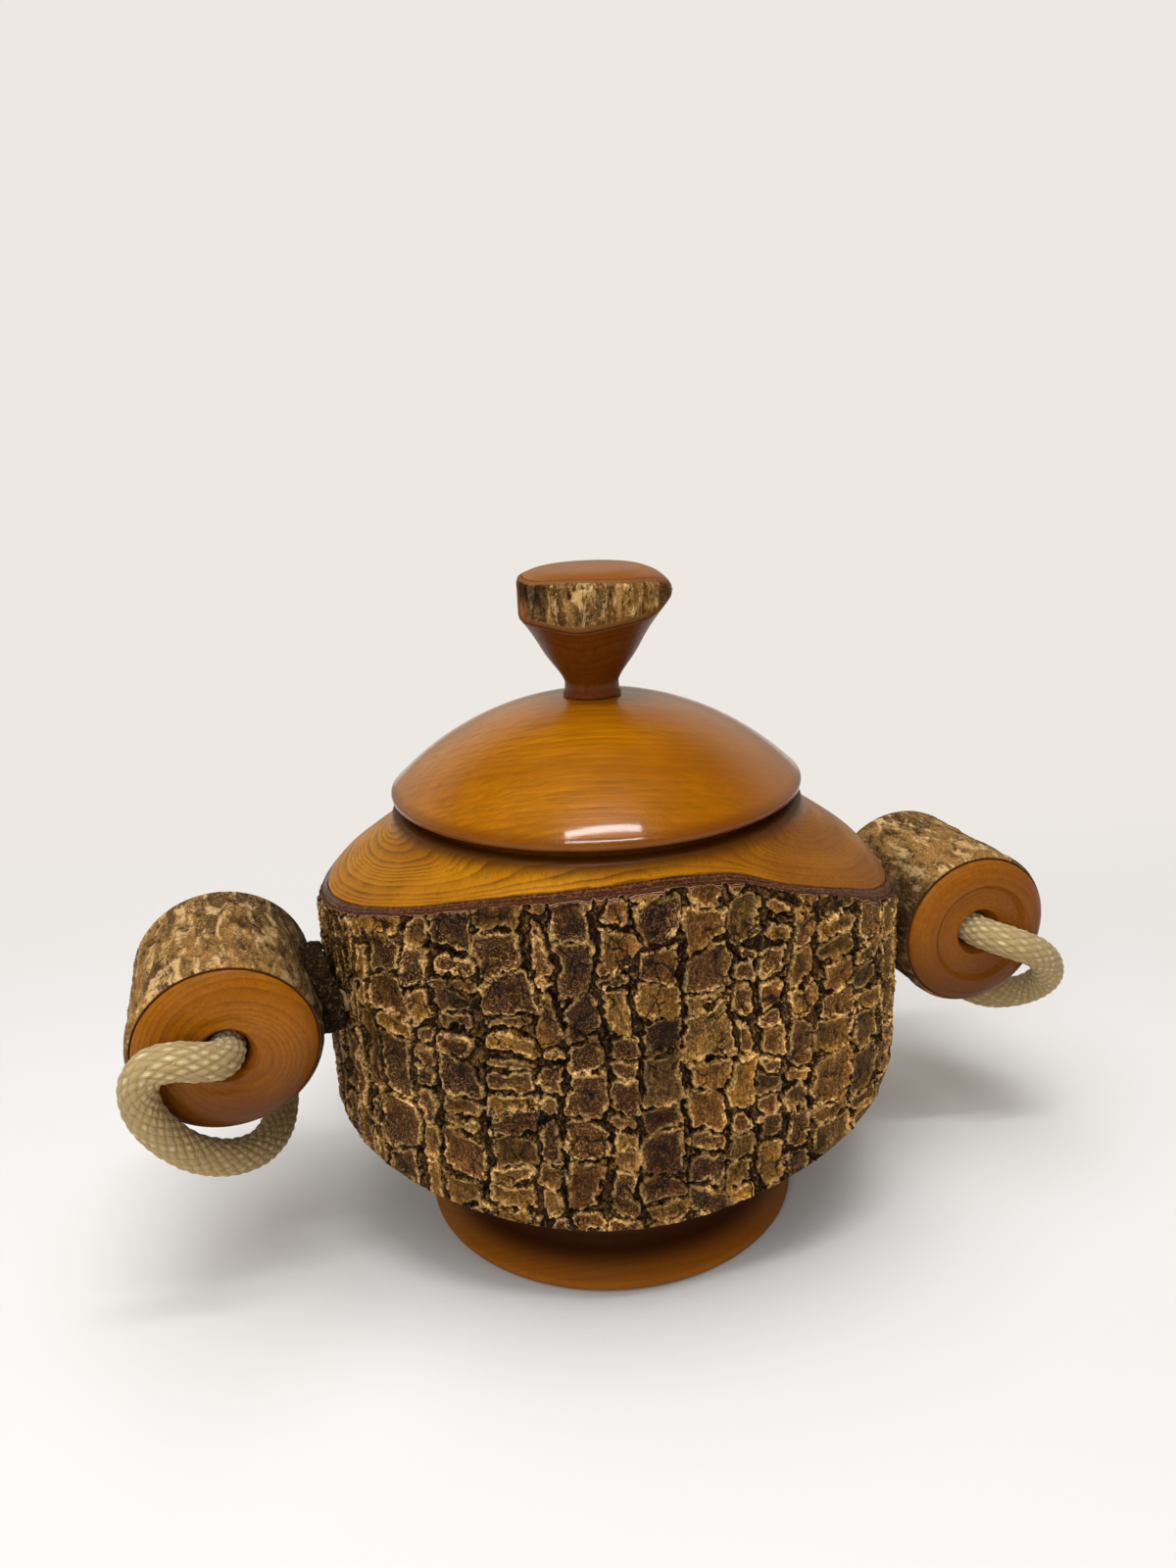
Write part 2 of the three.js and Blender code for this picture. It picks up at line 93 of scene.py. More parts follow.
# Rope routes, measured from the middle of each bore.
LEFT_ROUTE = [
    (0, -12, 0), (0, -24, 0), (0, -34, 0), (-2, -41.5, 1.5), (-7.5, -46, 4.5), (-14.5, -47.8, 7),
    (-21.5, -47.2, 6), (-25.5, -45.5, 0.5), (-26.3, -43.5, -7), (-25, -41.8, -14),
    (-21.8, -39.6, -21.5), (-14.5, -34.5, -33), (-5, -26.5, -42.5), (4, -15.5, -48.8),
    (10, -2.5, -51.8), (13, 10, -52.5), (14.8, 23, -49.5), (15.3, 35, -42.5), (14, 44, -32.5),
    (10.5, 49, -21), (6, 49, -9.8), (2, 44.5, -2.3), (0, 36.5, 0), (0, 26, 0), (0, 13, 0),
]
RIGHT_ROUTE = [
    (0, -10, 0), (0, -21, 0), (0.3, -31, 0), (3, -38, -0.2), (9, -42, -2.2), (18, -42, -7),
    (26.5, -38, -14.5), (32.5, -32, -23), (35.5, -24.5, -31), (35.5, -16.5, -38),
    (32.5, -8, -43.5), (29, 1, -47), (26.5, 11, -48), (25, 21, -45.5), (23.5, 30, -40),
    (20.5, 37, -32), (16, 41.5, -22.5), (10, 42, -12.5), (5, 39, -4.7), (1, 34, -0.7),
    (0, 27, 0), (0, 18, 0), (0, 8, 0),
]

# How finely the pieces are divided.
WOOD_COLUMNS, BAND_COLUMNS, LID_COLUMNS = 360, 480, 256
BARK_COLUMNS, BARK_ROWS = 470, 182
KNOB_COLUMNS, KNOB_BARK_COLUMNS, KNOB_BARK_ROWS = 220, 420, 52
LOG_COLUMNS, LOG_BARK_COLUMNS, LOG_BARK_ROWS = 168, 330, 88
ROPE_COLUMNS, ROPE_SIDES = 620, 112
MERGE_DISTANCE, GLUE_VOXEL = 1e-6, 0.0007       # metres

# The mark on a bark plate keeps how far inside it a point lies, from this far outside it and
# over this span, and a plate is made of sheets of this thickness.
EDGE_OUTSIDE, EDGE_SPAN, SHEET = 2.0, 8.0, 0.95
# Where the round rows of the underside end and the rows that follow the log start.
ROUND_UNDERSIDE = 72.5
# The inner side of the rough bark, between the dark band and the furrows.
BARK_INSIDE = 1.15
# How deep the pits in the thin bark of the knob and of the handle logs go.
KNOB_PITS, LOG_PITS = 1.3, 1.35
# The eased end of the lid's dome, next to the knob's stem.
DOME_END = STEM_RADIUS + 1.2

# Fixed tones: the painted shade in the foot's cove, the kinds of plate, and the layers on the
# bark's cut edge.
COVE_SHADE = (0.020, 0.0034, 0.0003)
PLATE_KINDS = [(0.0, (0.06, 0.018, 0.004)), (0.3, (0.13, 0.045, 0.010)),
               (0.5, (0.27, 0.12, 0.028)), (0.74, (0.66, 0.37, 0.065)),
               (1.0, (0.42, 0.26, 0.09))]
BARK_LAYERS = [(0.0, (0.04, 0.011, 0.006)), (0.35, (0.18, 0.060, 0.026)),
               (0.62, (0.62, 0.36, 0.18)), (0.8, (0.13, 0.040, 0.018)),
               (1.0, (0.03, 0.009, 0.005))]

# Camera: its place in metres and its angles, and how far the handles are turned from it.
CAMERA_PLACE = (-0.11695, -0.38252, 0.28654)
CAMERA_PITCH, CAMERA_YAW, CAMERA_ROLL, HANDLE_TURN = 0.305, -0.007, -0.042, math.radians(17)
CAMERA_LENS, CAMERA_SENSOR = 27, 36
# Lamps: name, place, target, size in metres and power in watts.
LAMPS = (("overhead", (-0.20, -0.15, 1.5), (0, 0, 0.08), (1.5, 1.5), 19),
         ("window", (-0.067, -0.36, 1.35), (0, -0.03, 0.15), (0.60, 0.06), 4.6),
         ("fill", (-0.75, -1.35, 0.75), (0, 0, 0.08), (0.9, 0.7), 15))
# The studio's light by height, from below to above.
STUDIO_LEVELS = [(0.0, (0.30, 0.27, 0.23)), (0.2, (0.68, 0.61, 0.51)),
                 (0.44, (0.80, 0.71, 0.58)), (0.56, (0.58, 0.51, 0.41)),
                 (0.70, (0.08, 0.071, 0.06)), (1.0, (0.05, 0.044, 0.037))]


class PotSizes(bpy.types.PropertyGroup):
    plate_width: bpy.props.FloatProperty(
        name="Plate width", description="Mean width of a column of bark plates",
        default=0.0112, min=0.004, max=0.03, unit="LENGTH")
    plate_height: bpy.props.FloatProperty(
        name="Plate height", description="Mean height of one bark plate",
        default=0.0118, min=0.004, max=0.03, unit="LENGTH")
    furrow_depth: bpy.props.FloatProperty(
        name="Furrow depth", description="How deep the furrows between the plates go",
        default=0.0036, min=0.001, max=0.0042, unit="LENGTH")
    ring_spacing: bpy.props.FloatProperty(
        name="Ring spacing", description="Distance between two growth rings of the log",
        default=0.0016, min=0.0005, max=0.01, unit="LENGTH")
    strand_pitch: bpy.props.FloatProperty(
        name="Strand pitch",
        description="Length of rope in which one braided strand goes once round",
        default=0.062, min=0.01, max=0.1, unit="LENGTH")
    strands: bpy.props.IntProperty(
        name="Strands", description="Strands of the rope that run each way round",
        default=12, min=3, max=16)


class PotColours(bpy.types.PropertyGroup):
    amber: bpy.props.FloatVectorProperty(
        name="Amber wood", description="Light wood of the lid",
        default=(0.45, 0.16, 0.001), size=3, min=0, max=1, subtype="COLOR")
    golden: bpy.props.FloatVectorProperty(
        name="Golden wood", description="Palest wood of the shoulder, on its left",
        default=(0.56, 0.23, 0.003), size=3, min=0, max=1, subtype="COLOR")
    red: bpy.props.FloatVectorProperty(
        name="Red wood", description="Darker heartwood of the foot, the knob and the branch logs",
        default=(0.20, 0.048, 0.002), size=3, min=0, max=1, subtype="COLOR")
    growth_line: bpy.props.FloatVectorProperty(
        name="Growth line", description="Late wood between two growth rings",
        default=(0.06, 0.014, 0.001), size=3, min=0, max=1, subtype="COLOR")
    dark_band: bpy.props.FloatVectorProperty(
        name="Dark band", description="Inner bark, where the lathe cut through it",
        default=(0.055, 0.013, 0.004), size=3, min=0, max=1, subtype="COLOR")
    furrow: bpy.props.FloatVectorProperty(
        name="Furrow", description="Floor of the furrows in the bark",
        default=(0.014, 0.006, 0.002), size=3, min=0, max=1, subtype="COLOR")
    plate_rim: bpy.props.FloatVectorProperty(
        name="Plate rim", description="Pale broken edge of a bark plate",
        default=(0.54, 0.35, 0.14), size=3, min=0, max=1, subtype="COLOR")
    skin: bpy.props.FloatVectorProperty(
        name="Branch skin", description="Bark of the thin branches",
        default=(0.27, 0.135, 0.035), size=3, min=0, max=1, subtype="COLOR")
    rope: bpy.props.FloatVectorProperty(
        name="Rope", description="Fibre of the rope handles",
        default=(0.47, 0.34, 0.147), size=3, min=0, max=1, subtype="COLOR")
    floor: bpy.props.FloatVectorProperty(
        name="Floor", description="Pale floor in front of the pot",
        default=(0.775, 0.77, 0.765), size=3, min=0, max=1, subtype="COLOR")
    backdrop: bpy.props.FloatVectorProperty(
        name="Backdrop", description="Pale wall behind the pot",
        default=(0.847, 0.807, 0.761), size=3, min=0, max=1, subtype="COLOR")


def rounded(points, per_step, closed=False):
    """Points on the curve that the part's source draws through the given points."""
    points = np.array(points, float)
    count = len(points)
    weights = np.linspace(0, 1, per_step, endpoint=False)[:, None]
    out = []
    for i in range(count if closed else count - 1):
        before = points[(i - 1) % count] if closed or i > 0 else 2 * points[0] - points[1]
        here, there = points[i], points[(i + 1) % count]
        last = 2 * points[-1] - points[-2]
        after = points[(i + 2) % count] if closed or i + 2 < count else last
        span = [max(np.linalg.norm(b - a), 1e-9) ** 0.5
                for a, b in ((before, here), (here, there), (there, after))]
        leave = ((here - before) / span[0] - (there - before) / (span[0] + span[1])
                 + (there - here) / span[1]) * span[1]
        arrive = ((there - here) / span[1] - (after - here) / (span[1] + span[2])
                  + (after - there) / span[2]) * span[1]
        out.append(here + leave * weights
                   + (-3 * here + 3 * there - 2 * leave - arrive) * weights ** 2
                   + (2 * here - 2 * there + leave + arrive) * weights ** 3)
    if not closed:
        out.append(points[-1:])
    return np.concatenate(out)


def flowing(points, steps):
    """Points on an even flowing line through the given points."""
    points = np.array(points, float)
    last = len(points) - 1
    at = np.linspace(0, last, steps)
    i = np.minimum(at.astype(int), last - 1)
    w = (at - i)[:, None]
    a, b = points[np.maximum(i - 1, 0)], points[i]
    c, d = points[i + 1], points[np.minimum(i + 2, last)]
    leave, arrive = (c - a) / 2, (d - b) / 2
    return (b + leave * w + (-3 * b + 3 * c - 2 * leave - arrive) * w ** 2
            + (2 * b - 2 * c + leave + arrive) * w ** 3)


def shares(start, end, steps):
    """A curve given by its shares of the way from one point to another."""
    return [(start[0] + a * (end[0] - start[0]), start[1] + b * (end[1] - start[1]))
            for a, b in steps]


def beside(radius, height, *offsets):
    """Points of a profile at offsets from one of its corners."""
    return [(radius + a, height + b) for a, b in offsets]


def arc(x, y, radius, first, last, steps):
    """Points on an arc round x, y, between two angles in degrees."""
    return [(x + radius * math.cos(math.radians(a)), y + radius * math.sin(math.radians(a)))
            for a in np.linspace(first, last, steps + 1)]


def eased(value, low, high):
    """A smooth step from 0 at low to 1 at high."""
    t = np.clip((value - low) / (high - low), 0, 1)
    return t * t * (3 - 2 * t)


def speckle(i, j, seed):
    """The same number from 0 to 1 each time for a pair of whole numbers."""
    h = (i.astype(np.int64) * 374761393 + j.astype(np.int64) * 668265263 + seed * 974634777)
    h &= 0xFFFFFFFF
    h = ((h ^ (h >> 13)) * 1274126177) & 0xFFFFFFFF
    h = ((h ^ (h >> 16)) * 2246822519) & 0xFFFFFFFF
    return ((h ^ (h >> 15)) & 0xFFFF) / 65535.0


def drift(x, y, seed, octaves=1):
    """Smooth unevenness from -1 to 1 over two coordinates."""
    total, weight = 0.0, 0.0
    for level in range(octaves):
        scale, share = 2.03 ** level, 0.55 ** level
        u, v = x * scale + 17.3 * level, y * scale - 9.1 * level
        i, j = np.floor(u), np.floor(v)
        a, b = u - i, v - j
        a, b = a * a * (3 - 2 * a), b * b * (3 - 2 * b)
        value = ((speckle(i, j, seed) * (1 - a) + speckle(i + 1, j, seed) * a) * (1 - b)
                 + (speckle(i, j + 1, seed) * (1 - a) + speckle(i + 1, j + 1, seed) * a) * b)
        total = total + share * (2 * value - 1)
        weight += share
    return total / weight


class LogEdge:
    """The wood's edge seen from above: points, outward directions and distance along it."""

    def __init__(self):
        corners = []
        for bearing, departure in LOG_DEPARTURES:
            reach = LOG_RADIUS + departure
            angle = math.radians(bearing)
            corners.append((reach * math.cos(angle), reach * math.sin(angle)))
        line = rounded(corners, 80, closed=True)
        line = np.vstack([line, line[:1]])
        step = np.linalg.norm(np.diff(line, axis=0), axis=1)
        self.walked = np.concatenate([[0], np.cumsum(step)])
        self.length = self.walked[-1]
        self.line = line

    def at(self, along):
        """Points and outward directions at distances along the edge."""
        along = np.mod(along, self.length)

        def point(distance):
            return np.stack([np.interp(distance, self.walked, self.line[:, 0]),
                             np.interp(distance, self.walked, self.line[:, 1])], -1)

        ahead = point(np.mod(along + 1.5, self.length))
        behind = point(np.mod(along - 1.5, self.length))
        direction = ahead - behind
        direction /= np.linalg.norm(direction, axis=-1, keepdims=True)
        return point(along), np.stack([direction[..., 1], -direction[..., 0]], -1)


LOG = LogEdge()

# The outside that the lathe cut: foot, cove and underside, then the shoulder.
_lip = arc(FOOT_RADIUS - FOOT_LIP / 2, FOOT_LIP / 2, FOOT_LIP / 2, -60, 45, 10)
_under_start = (WAIST_RADIUS + 17, UNDERSIDE_HEIGHT)
_underside = flowing(
    shares((FOOT_RADIUS - 2, FOOT_LIP), (WAIST_RADIUS, WAIST_HEIGHT),
           [(0, 0), (0.39, 0.29), (0.85, 0.61), (1, 1)])
    + shares((WAIST_RADIUS, WAIST_HEIGHT), _under_start, [(0.18, 0.57), (0.53, 0.81)])
    + shares(_under_start, (BELLY_RADIUS, BELLY_LOW),
             [(0, 0), (0.31, 0.19), (0.57, 0.37), (0.83, 0.63), (1, 1)]), 160)
_shoulder = flowing(
    shares((COLLAR_RADIUS, SHOULDER_TOP), (BELLY_RADIUS, SHOULDER_TOP - SHOULDER_HEIGHT),
           [(1, 1), (0.815, 0.69), (0.614, 0.482), (0.39, 0.344), (0.193, 0.234),
            (0.048, 0.13), (0, 0.041)]), 160)
_waist_row = int(np.argmin(_underside[:, 0]))
_belly = _underside[_waist_row:]


def shoulder_height(radius):
    """Height of the turned shoulder at a radius."""
    order = np.argsort(_shoulder[:, 0])
    return np.interp(radius, _shoulder[order, 0], _shoulder[order, 1])


def underside_height(radius):
    """Height of the turned underside at a radius."""
    return np.interp(radius, _belly[:, 0], _belly[:, 1])


def lathe_reach(height):
    """How far out the lathe left material at a height, on the shoulder and on the underside."""
    order = np.argsort(_shoulder[:, 1])
    top = np.interp(height, _shoulder[order, 1], _shoulder[order, 0], left=BELLY_RADIUS)
    low = np.interp(height, _belly[:, 1], _belly[:, 0], right=BELLY_RADIUS)
    return np.minimum(top, low)


def circle(columns):
    """Even angles once round."""
    return np.linspace(0, TURN, columns, endpoint=False)


def turned(rows, angle):
    """Points by column and row, from each row's radii and heights at the given angles."""
    return np.stack([np.stack([r * np.cos(angle), r * np.sin(angle), z], -1)
                     for r, z in rows], 1)


def clear_selection():
    """Leaves edit mode and selects nothing."""
    if bpy.context.object and bpy.context.object.mode != "OBJECT":
        bpy.ops.object.mode_set(mode="OBJECT")
    bpy.ops.object.select_all(action="DESELECT")


def lay_points(mesh, points, marks):
    """Puts a mesh's points in place, from millimetres, and keeps the marks on them."""
    mesh.vertices.foreach_set("co", (points * MM).astype(np.float32).ravel())
    for title, values in marks.items():
        values = np.asarray(values, np.float32)
        kind, field = ("FLOAT_COLOR", "color") if values.ndim == 3 else ("FLOAT", "value")
        layer = mesh.attributes.new(title, kind, "POINT")
        layer.data.foreach_set(field, values.ravel())
    mesh.update()


def close_seams(fill=False):
    """Merges the active piece's doubled points, fills its ends and turns its faces outwards."""
    bpy.ops.object.mode_set(mode="EDIT")
    bpy.ops.mesh.select_all(action="SELECT")
    bpy.ops.mesh.remove_doubles(threshold=MERGE_DISTANCE)
    if fill:
        bpy.ops.mesh.fill_holes(sides=0)
    bpy.ops.mesh.select_all(action="SELECT")
    bpy.ops.mesh.normals_make_consistent(inside=False)
    bpy.ops.object.mode_set(mode="OBJECT")


def spun(name, grid, *, marks, crease, axis=(0, 0, 1), centre=(0, 0, 0), poles=False):
    """Draws the piece's profile as a ring of edges, spins it, then eases each row to its place.

    grid holds millimetres by column, row and axis. The profile is its first column. poles says
    that the profile starts and ends on the turning axis. marks are numbers kept on the points.
    """
    columns, rows = grid.shape[:2]
    clear_selection()
    bpy.ops.mesh.primitive_circle_add(vertices=rows, radius=0.01, fill_type="NOTHING")
    piece = bpy.context.object
    piece.name = piece.data.name = name
    for vertex, point in zip(piece.data.vertices, grid[0]):
        vertex.co = point * MM
    bpy.ops.object.mode_set(mode="EDIT")
    if poles:
        bpy.ops.mesh.select_all(action="DESELECT")
        bpy.ops.object.mode_set(mode="OBJECT")
        for edge in piece.data.edges:
            edge.select = set(edge.vertices) == {0, rows - 1}
        bpy.ops.object.mode_set(mode="EDIT")
        bpy.ops.mesh.select_mode(type="EDGE")
        bpy.ops.mesh.delete(type="EDGE")
        bpy.ops.mesh.select_mode(type="VERT")
    bpy.ops.mesh.select_all(action="SELECT")
    middle = tuple(c * MM for c in centre)
    bpy.ops.mesh.spin(steps=columns, angle=TURN, center=middle, axis=axis)
    bpy.ops.object.mode_set(mode="OBJECT")
    count = len(piece.data.vertices)
    if count != columns * rows:
        raise RuntimeError(f"{name}: {count} points, not {columns} x {rows}")
    lay_points(piece.data, grid, marks)
    close_seams()
    bpy.ops.object.shade_smooth_by_angle(angle=math.radians(crease), keep_sharp_edges=False)
    return piece


def shell(name, grid, marks, ring=False):
    """A closed shell from rows of points: a flat grid primitive, rolled up and put in place.

    grid holds millimetres by column, row and axis, and its rows close on themselves. ring says
    that the columns do too; otherwise both ends are filled.
    """
    def wrapped(values):
        values = np.concatenate([values, values[:, :1]], 1)
        return np.concatenate([values, values[:1]], 0) if ring else values

    points = wrapped(grid)
    columns, rows = points.shape[:2]
    clear_selection()
    bpy.ops.mesh.primitive_grid_add(x_subdivisions=rows - 1, y_subdivisions=columns - 1,
                                    size=0.1)
    piece = bpy.context.object
    piece.name = piece.data.name = name
    lay_points(piece.data, points, {title: wrapped(values) for title, values in marks.items()})
    close_seams(fill=not ring)
    bpy.ops.object.shade_smooth()
    return piece


def finish_piece(piece, material, body, nodes):
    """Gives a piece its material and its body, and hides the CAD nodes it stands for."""
    piece.data.materials.clear()
    piece.data.materials.append(material)
    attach(piece, body)
    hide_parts(*nodes)


def feed(tree, socket, value):
    """Joins a socket to another one, or sets its own value."""
    if isinstance(value, bpy.types.NodeSocket):
        tree.links.new(value, socket)
    elif socket.type == "RGBA":
        socket.default_value = (*value, 1)
    else:
        socket.default_value = value


class Bench:
    """Puts nodes in a tree and joins them, so that a material reads from top to bottom."""

    def __init__(self, tree, bare=False):
        self.tree = tree
        if bare:
            tree.nodes.clear()

    def put(self, kind, out=0, props=None, **inputs):
        """A new node with its inputs by name, or by number as i0, i1. Gives an output of it."""
        node = self.tree.nodes.new(kind)
        for key, value in (props or {}).items():
            setattr(node, key, value)
        for key, value in inputs.items():
            numbered = key[0] == "i" and key[1:].isdigit()
            socket = int(key[1:]) if numbered else key.replace("_", " ")
            feed(self.tree, node.inputs[socket], value)
        return node if out is None else node.outputs[out]

    def math(self, operation, a, b=0.5, clamp=False):
        return self.put("ShaderNodeMath", 0, dict(operation=operation, use_clamp=clamp),
                        i0=a, i1=b)

    def times(self, a, b):
        return self.math("MULTIPLY", a, b)

    def plus(self, a, b, clamp=False):
        return self.math("ADD", a, b, clamp)

    def minus(self, a, b):
        return self.math("SUBTRACT", a, b)

    def noise(self, vector, scale, detail=4, rough=0.6, distortion=0.0):
        return self.put("ShaderNodeTexNoise", Vector=vector, Scale=scale, Detail=detail,
                        Roughness=rough, Distortion=distortion)

    def fit(self, value, low, high, new_low=0.0, new_high=1.0, smooth=False):
        """The value taken from one range to another, and held within it."""
        kind = "SMOOTHSTEP" if smooth else "LINEAR"
        return self.put("ShaderNodeMapRange", 0, dict(interpolation_type=kind, clamp=True),
                        Value=value, From_Min=low, From_Max=high, To_Min=new_low, To_Max=new_high)

    def mix(self, share, a, b, blend="MIX"):
        """One colour laid over another."""
        return self.put("ShaderNodeMix", 2,
                        dict(data_type="RGBA", blend_type=blend, clamp_factor=True),
                        i0=share, i6=a, i7=b)

    def ramp(self, value, stops):
        node = self.put("ShaderNodeValToRGB", None, Fac=value)
        colours = node.color_ramp.elements
        while len(colours) < len(stops):
            colours.new(0.5)
        for element, (place, colour) in zip(colours, stops):
            element.position = place
            element.color = (*colour, 1)
        return node.outputs[0]

    def place(self):
        """Where a point lies on the object at rest, in metres."""
        return self.put("ShaderNodeTexCoord", "Object")

    def axis(self, vector, letter):
        return self.put("ShaderNodeSeparateXYZ", letter, Vector=vector)

    def length(self, vector):
        return self.put("ShaderNodeVectorMath", 1, dict(operation="LENGTH"), i0=vector)

    def stretched(self, vector, scale, turn=(0, 0, 0)):
        return self.put("ShaderNodeMapping", Vector=vector, Rotation=turn, Scale=scale)

    def mark(self, name):
        """One number kept on the points."""
        return self.put("ShaderNodeAttribute", "Fac", dict(attribute_name=name))

    def marks(self, name):
        """Four numbers kept on the points."""
        kept = self.put("ShaderNodeAttribute", None, dict(attribute_name=name)).outputs
        split = self.put("ShaderNodeSeparateColor", None, Color=kept["Color"]).outputs
        return split[0], split[1], split[2], kept["Alpha"]

    def finish(self, colour, roughness, height, strength, distance):
        """Joins the colour, the roughness and a bump to the material's shader."""
        shader = self.tree.nodes["Principled BSDF"].inputs
        bump = self.put("ShaderNodeBump", Height=height, Strength=strength, Distance=distance)
        for title, value in (("Base Color", colour), ("Roughness", roughness), ("Normal", bump)):
            self.tree.links.new(value, shader[title])


def blank_material(name, **constants):
    """A new material with constants on its shader, and a bench for its nodes."""
    material = bpy.data.materials.new(name)
    material.use_nodes = True
    shader = material.node_tree.nodes["Principled BSDF"]
    for key, value in constants.items():
        shader.inputs[key.replace("_", " ")].default_value = value
    return material, Bench(material.node_tree)


def shared_group(name, given, made, build):
    """The node group of this name, built when the first material asks for it.

    given names the inputs with their defaults, where None is a vector, and made the outputs.
    """
    tree = bpy.data.node_groups.get(name)
    if tree:
        return tree
    tree = bpy.data.node_groups.new(name, "ShaderNodeTree")
    for title, default in given.items():
        kind = "NodeSocketVector" if default is None else "NodeSocketFloat"
        socket = tree.interface.new_socket(title, in_out="INPUT", socket_type=kind)
        if default is not None:
            socket.default_value = default
    for title in made:
        tree.interface.new_socket(title, in_out="OUTPUT", socket_type="NodeSocketFloat")
    start = tree.nodes.new("NodeGroupInput").outputs
    end = tree.nodes.new("NodeGroupOutput").inputs
    for title, value in zip(made, build(Bench(tree), start)):
        tree.links.new(value, end[title])
    return tree


def use_group(bench, tree, **inputs):
    """The outputs of a new node with this group."""
    node = bench.put("ShaderNodeGroup", None, dict(node_tree=tree), **inputs)
    return node.outputs


def rings_group():
    """Late wood lines at even depths below the bark, wavering as a log grows."""
    def build(b, given):
        waver = b.minus(b.noise(given["Vector"], 26, 4, 0.55), 0.5)
        depth = b.plus(given["Depth"], b.times(waver, given["Waver"]))
        turns = b.math("DIVIDE", depth, given["Spacing"])
        crowd = b.times(b.math("SINE", b.times(turns, 0.9)), 0.6)
        wave = b.math("FRACT", b.plus(turns, crowd))
        line = b.times(b.math("POWER", wave, 1.9), b.fit(wave, 0.9, 1.0, 1.0, 0.0))
        faint = b.fit(b.noise(given["Vector"], 90, 2), 0.3, 0.7, 0.35, 1.0)
        broad = b.fit(b.math("SINE", b.times(turns, 0.71)), -1, 1)
        return b.times(line, faint), broad

    return shared_group("Growth rings", dict(Depth=0.0, Vector=None, Spacing=2.0, Waver=0.8),
                        ("Line", "Broad"), build)


def fibre_group():
    """Short fibre flecks along the first axis of the given coordinates, and broad cloudiness."""
    def build(b, given):
        fleck = b.fit(b.noise(given["Vector"], 1500, 3, 0.65), 0.52, 0.72)
        streak = b.fit(b.noise(given["Vector"], 620, 5, 0.65), 0.36, 0.64)
        cloud = b.fit(b.noise(given["Plain"], 22, 3, 0.5), 0.3, 0.7)
        wear = b.fit(b.noise(given["Plain"], 260, 6, 0.75), 0.55, 0.75)
        return fleck, streak, cloud, wear

    return shared_group("Wood fibre", dict(Vector=None, Plain=None),
                        ("Fleck", "Streak", "Cloud", "Wear"), build)


def grit_group():
    """Light and dark grit at three sizes, for rough bark and glue."""
    def build(b, given):
        coarse = b.fit(b.noise(given["Vector"], 380, 5, 0.72, 0.5), 0.36, 0.64)
        fine = b.fit(b.noise(given["Vector"], 1000, 3, 0.75), 0.36, 0.64)
        patch = b.fit(b.noise(given["Vector"], 100, 4, 0.6), 0.36, 0.64)
        return coarse, fine, patch

    return shared_group("Bark grit", dict(Vector=None), ("Coarse", "Fine", "Patch"), build)


def scaled(colour, share, lift=0.0):
    """A colour made lighter or darker."""
    return tuple(min(1, lift + share * c) for c in colour)


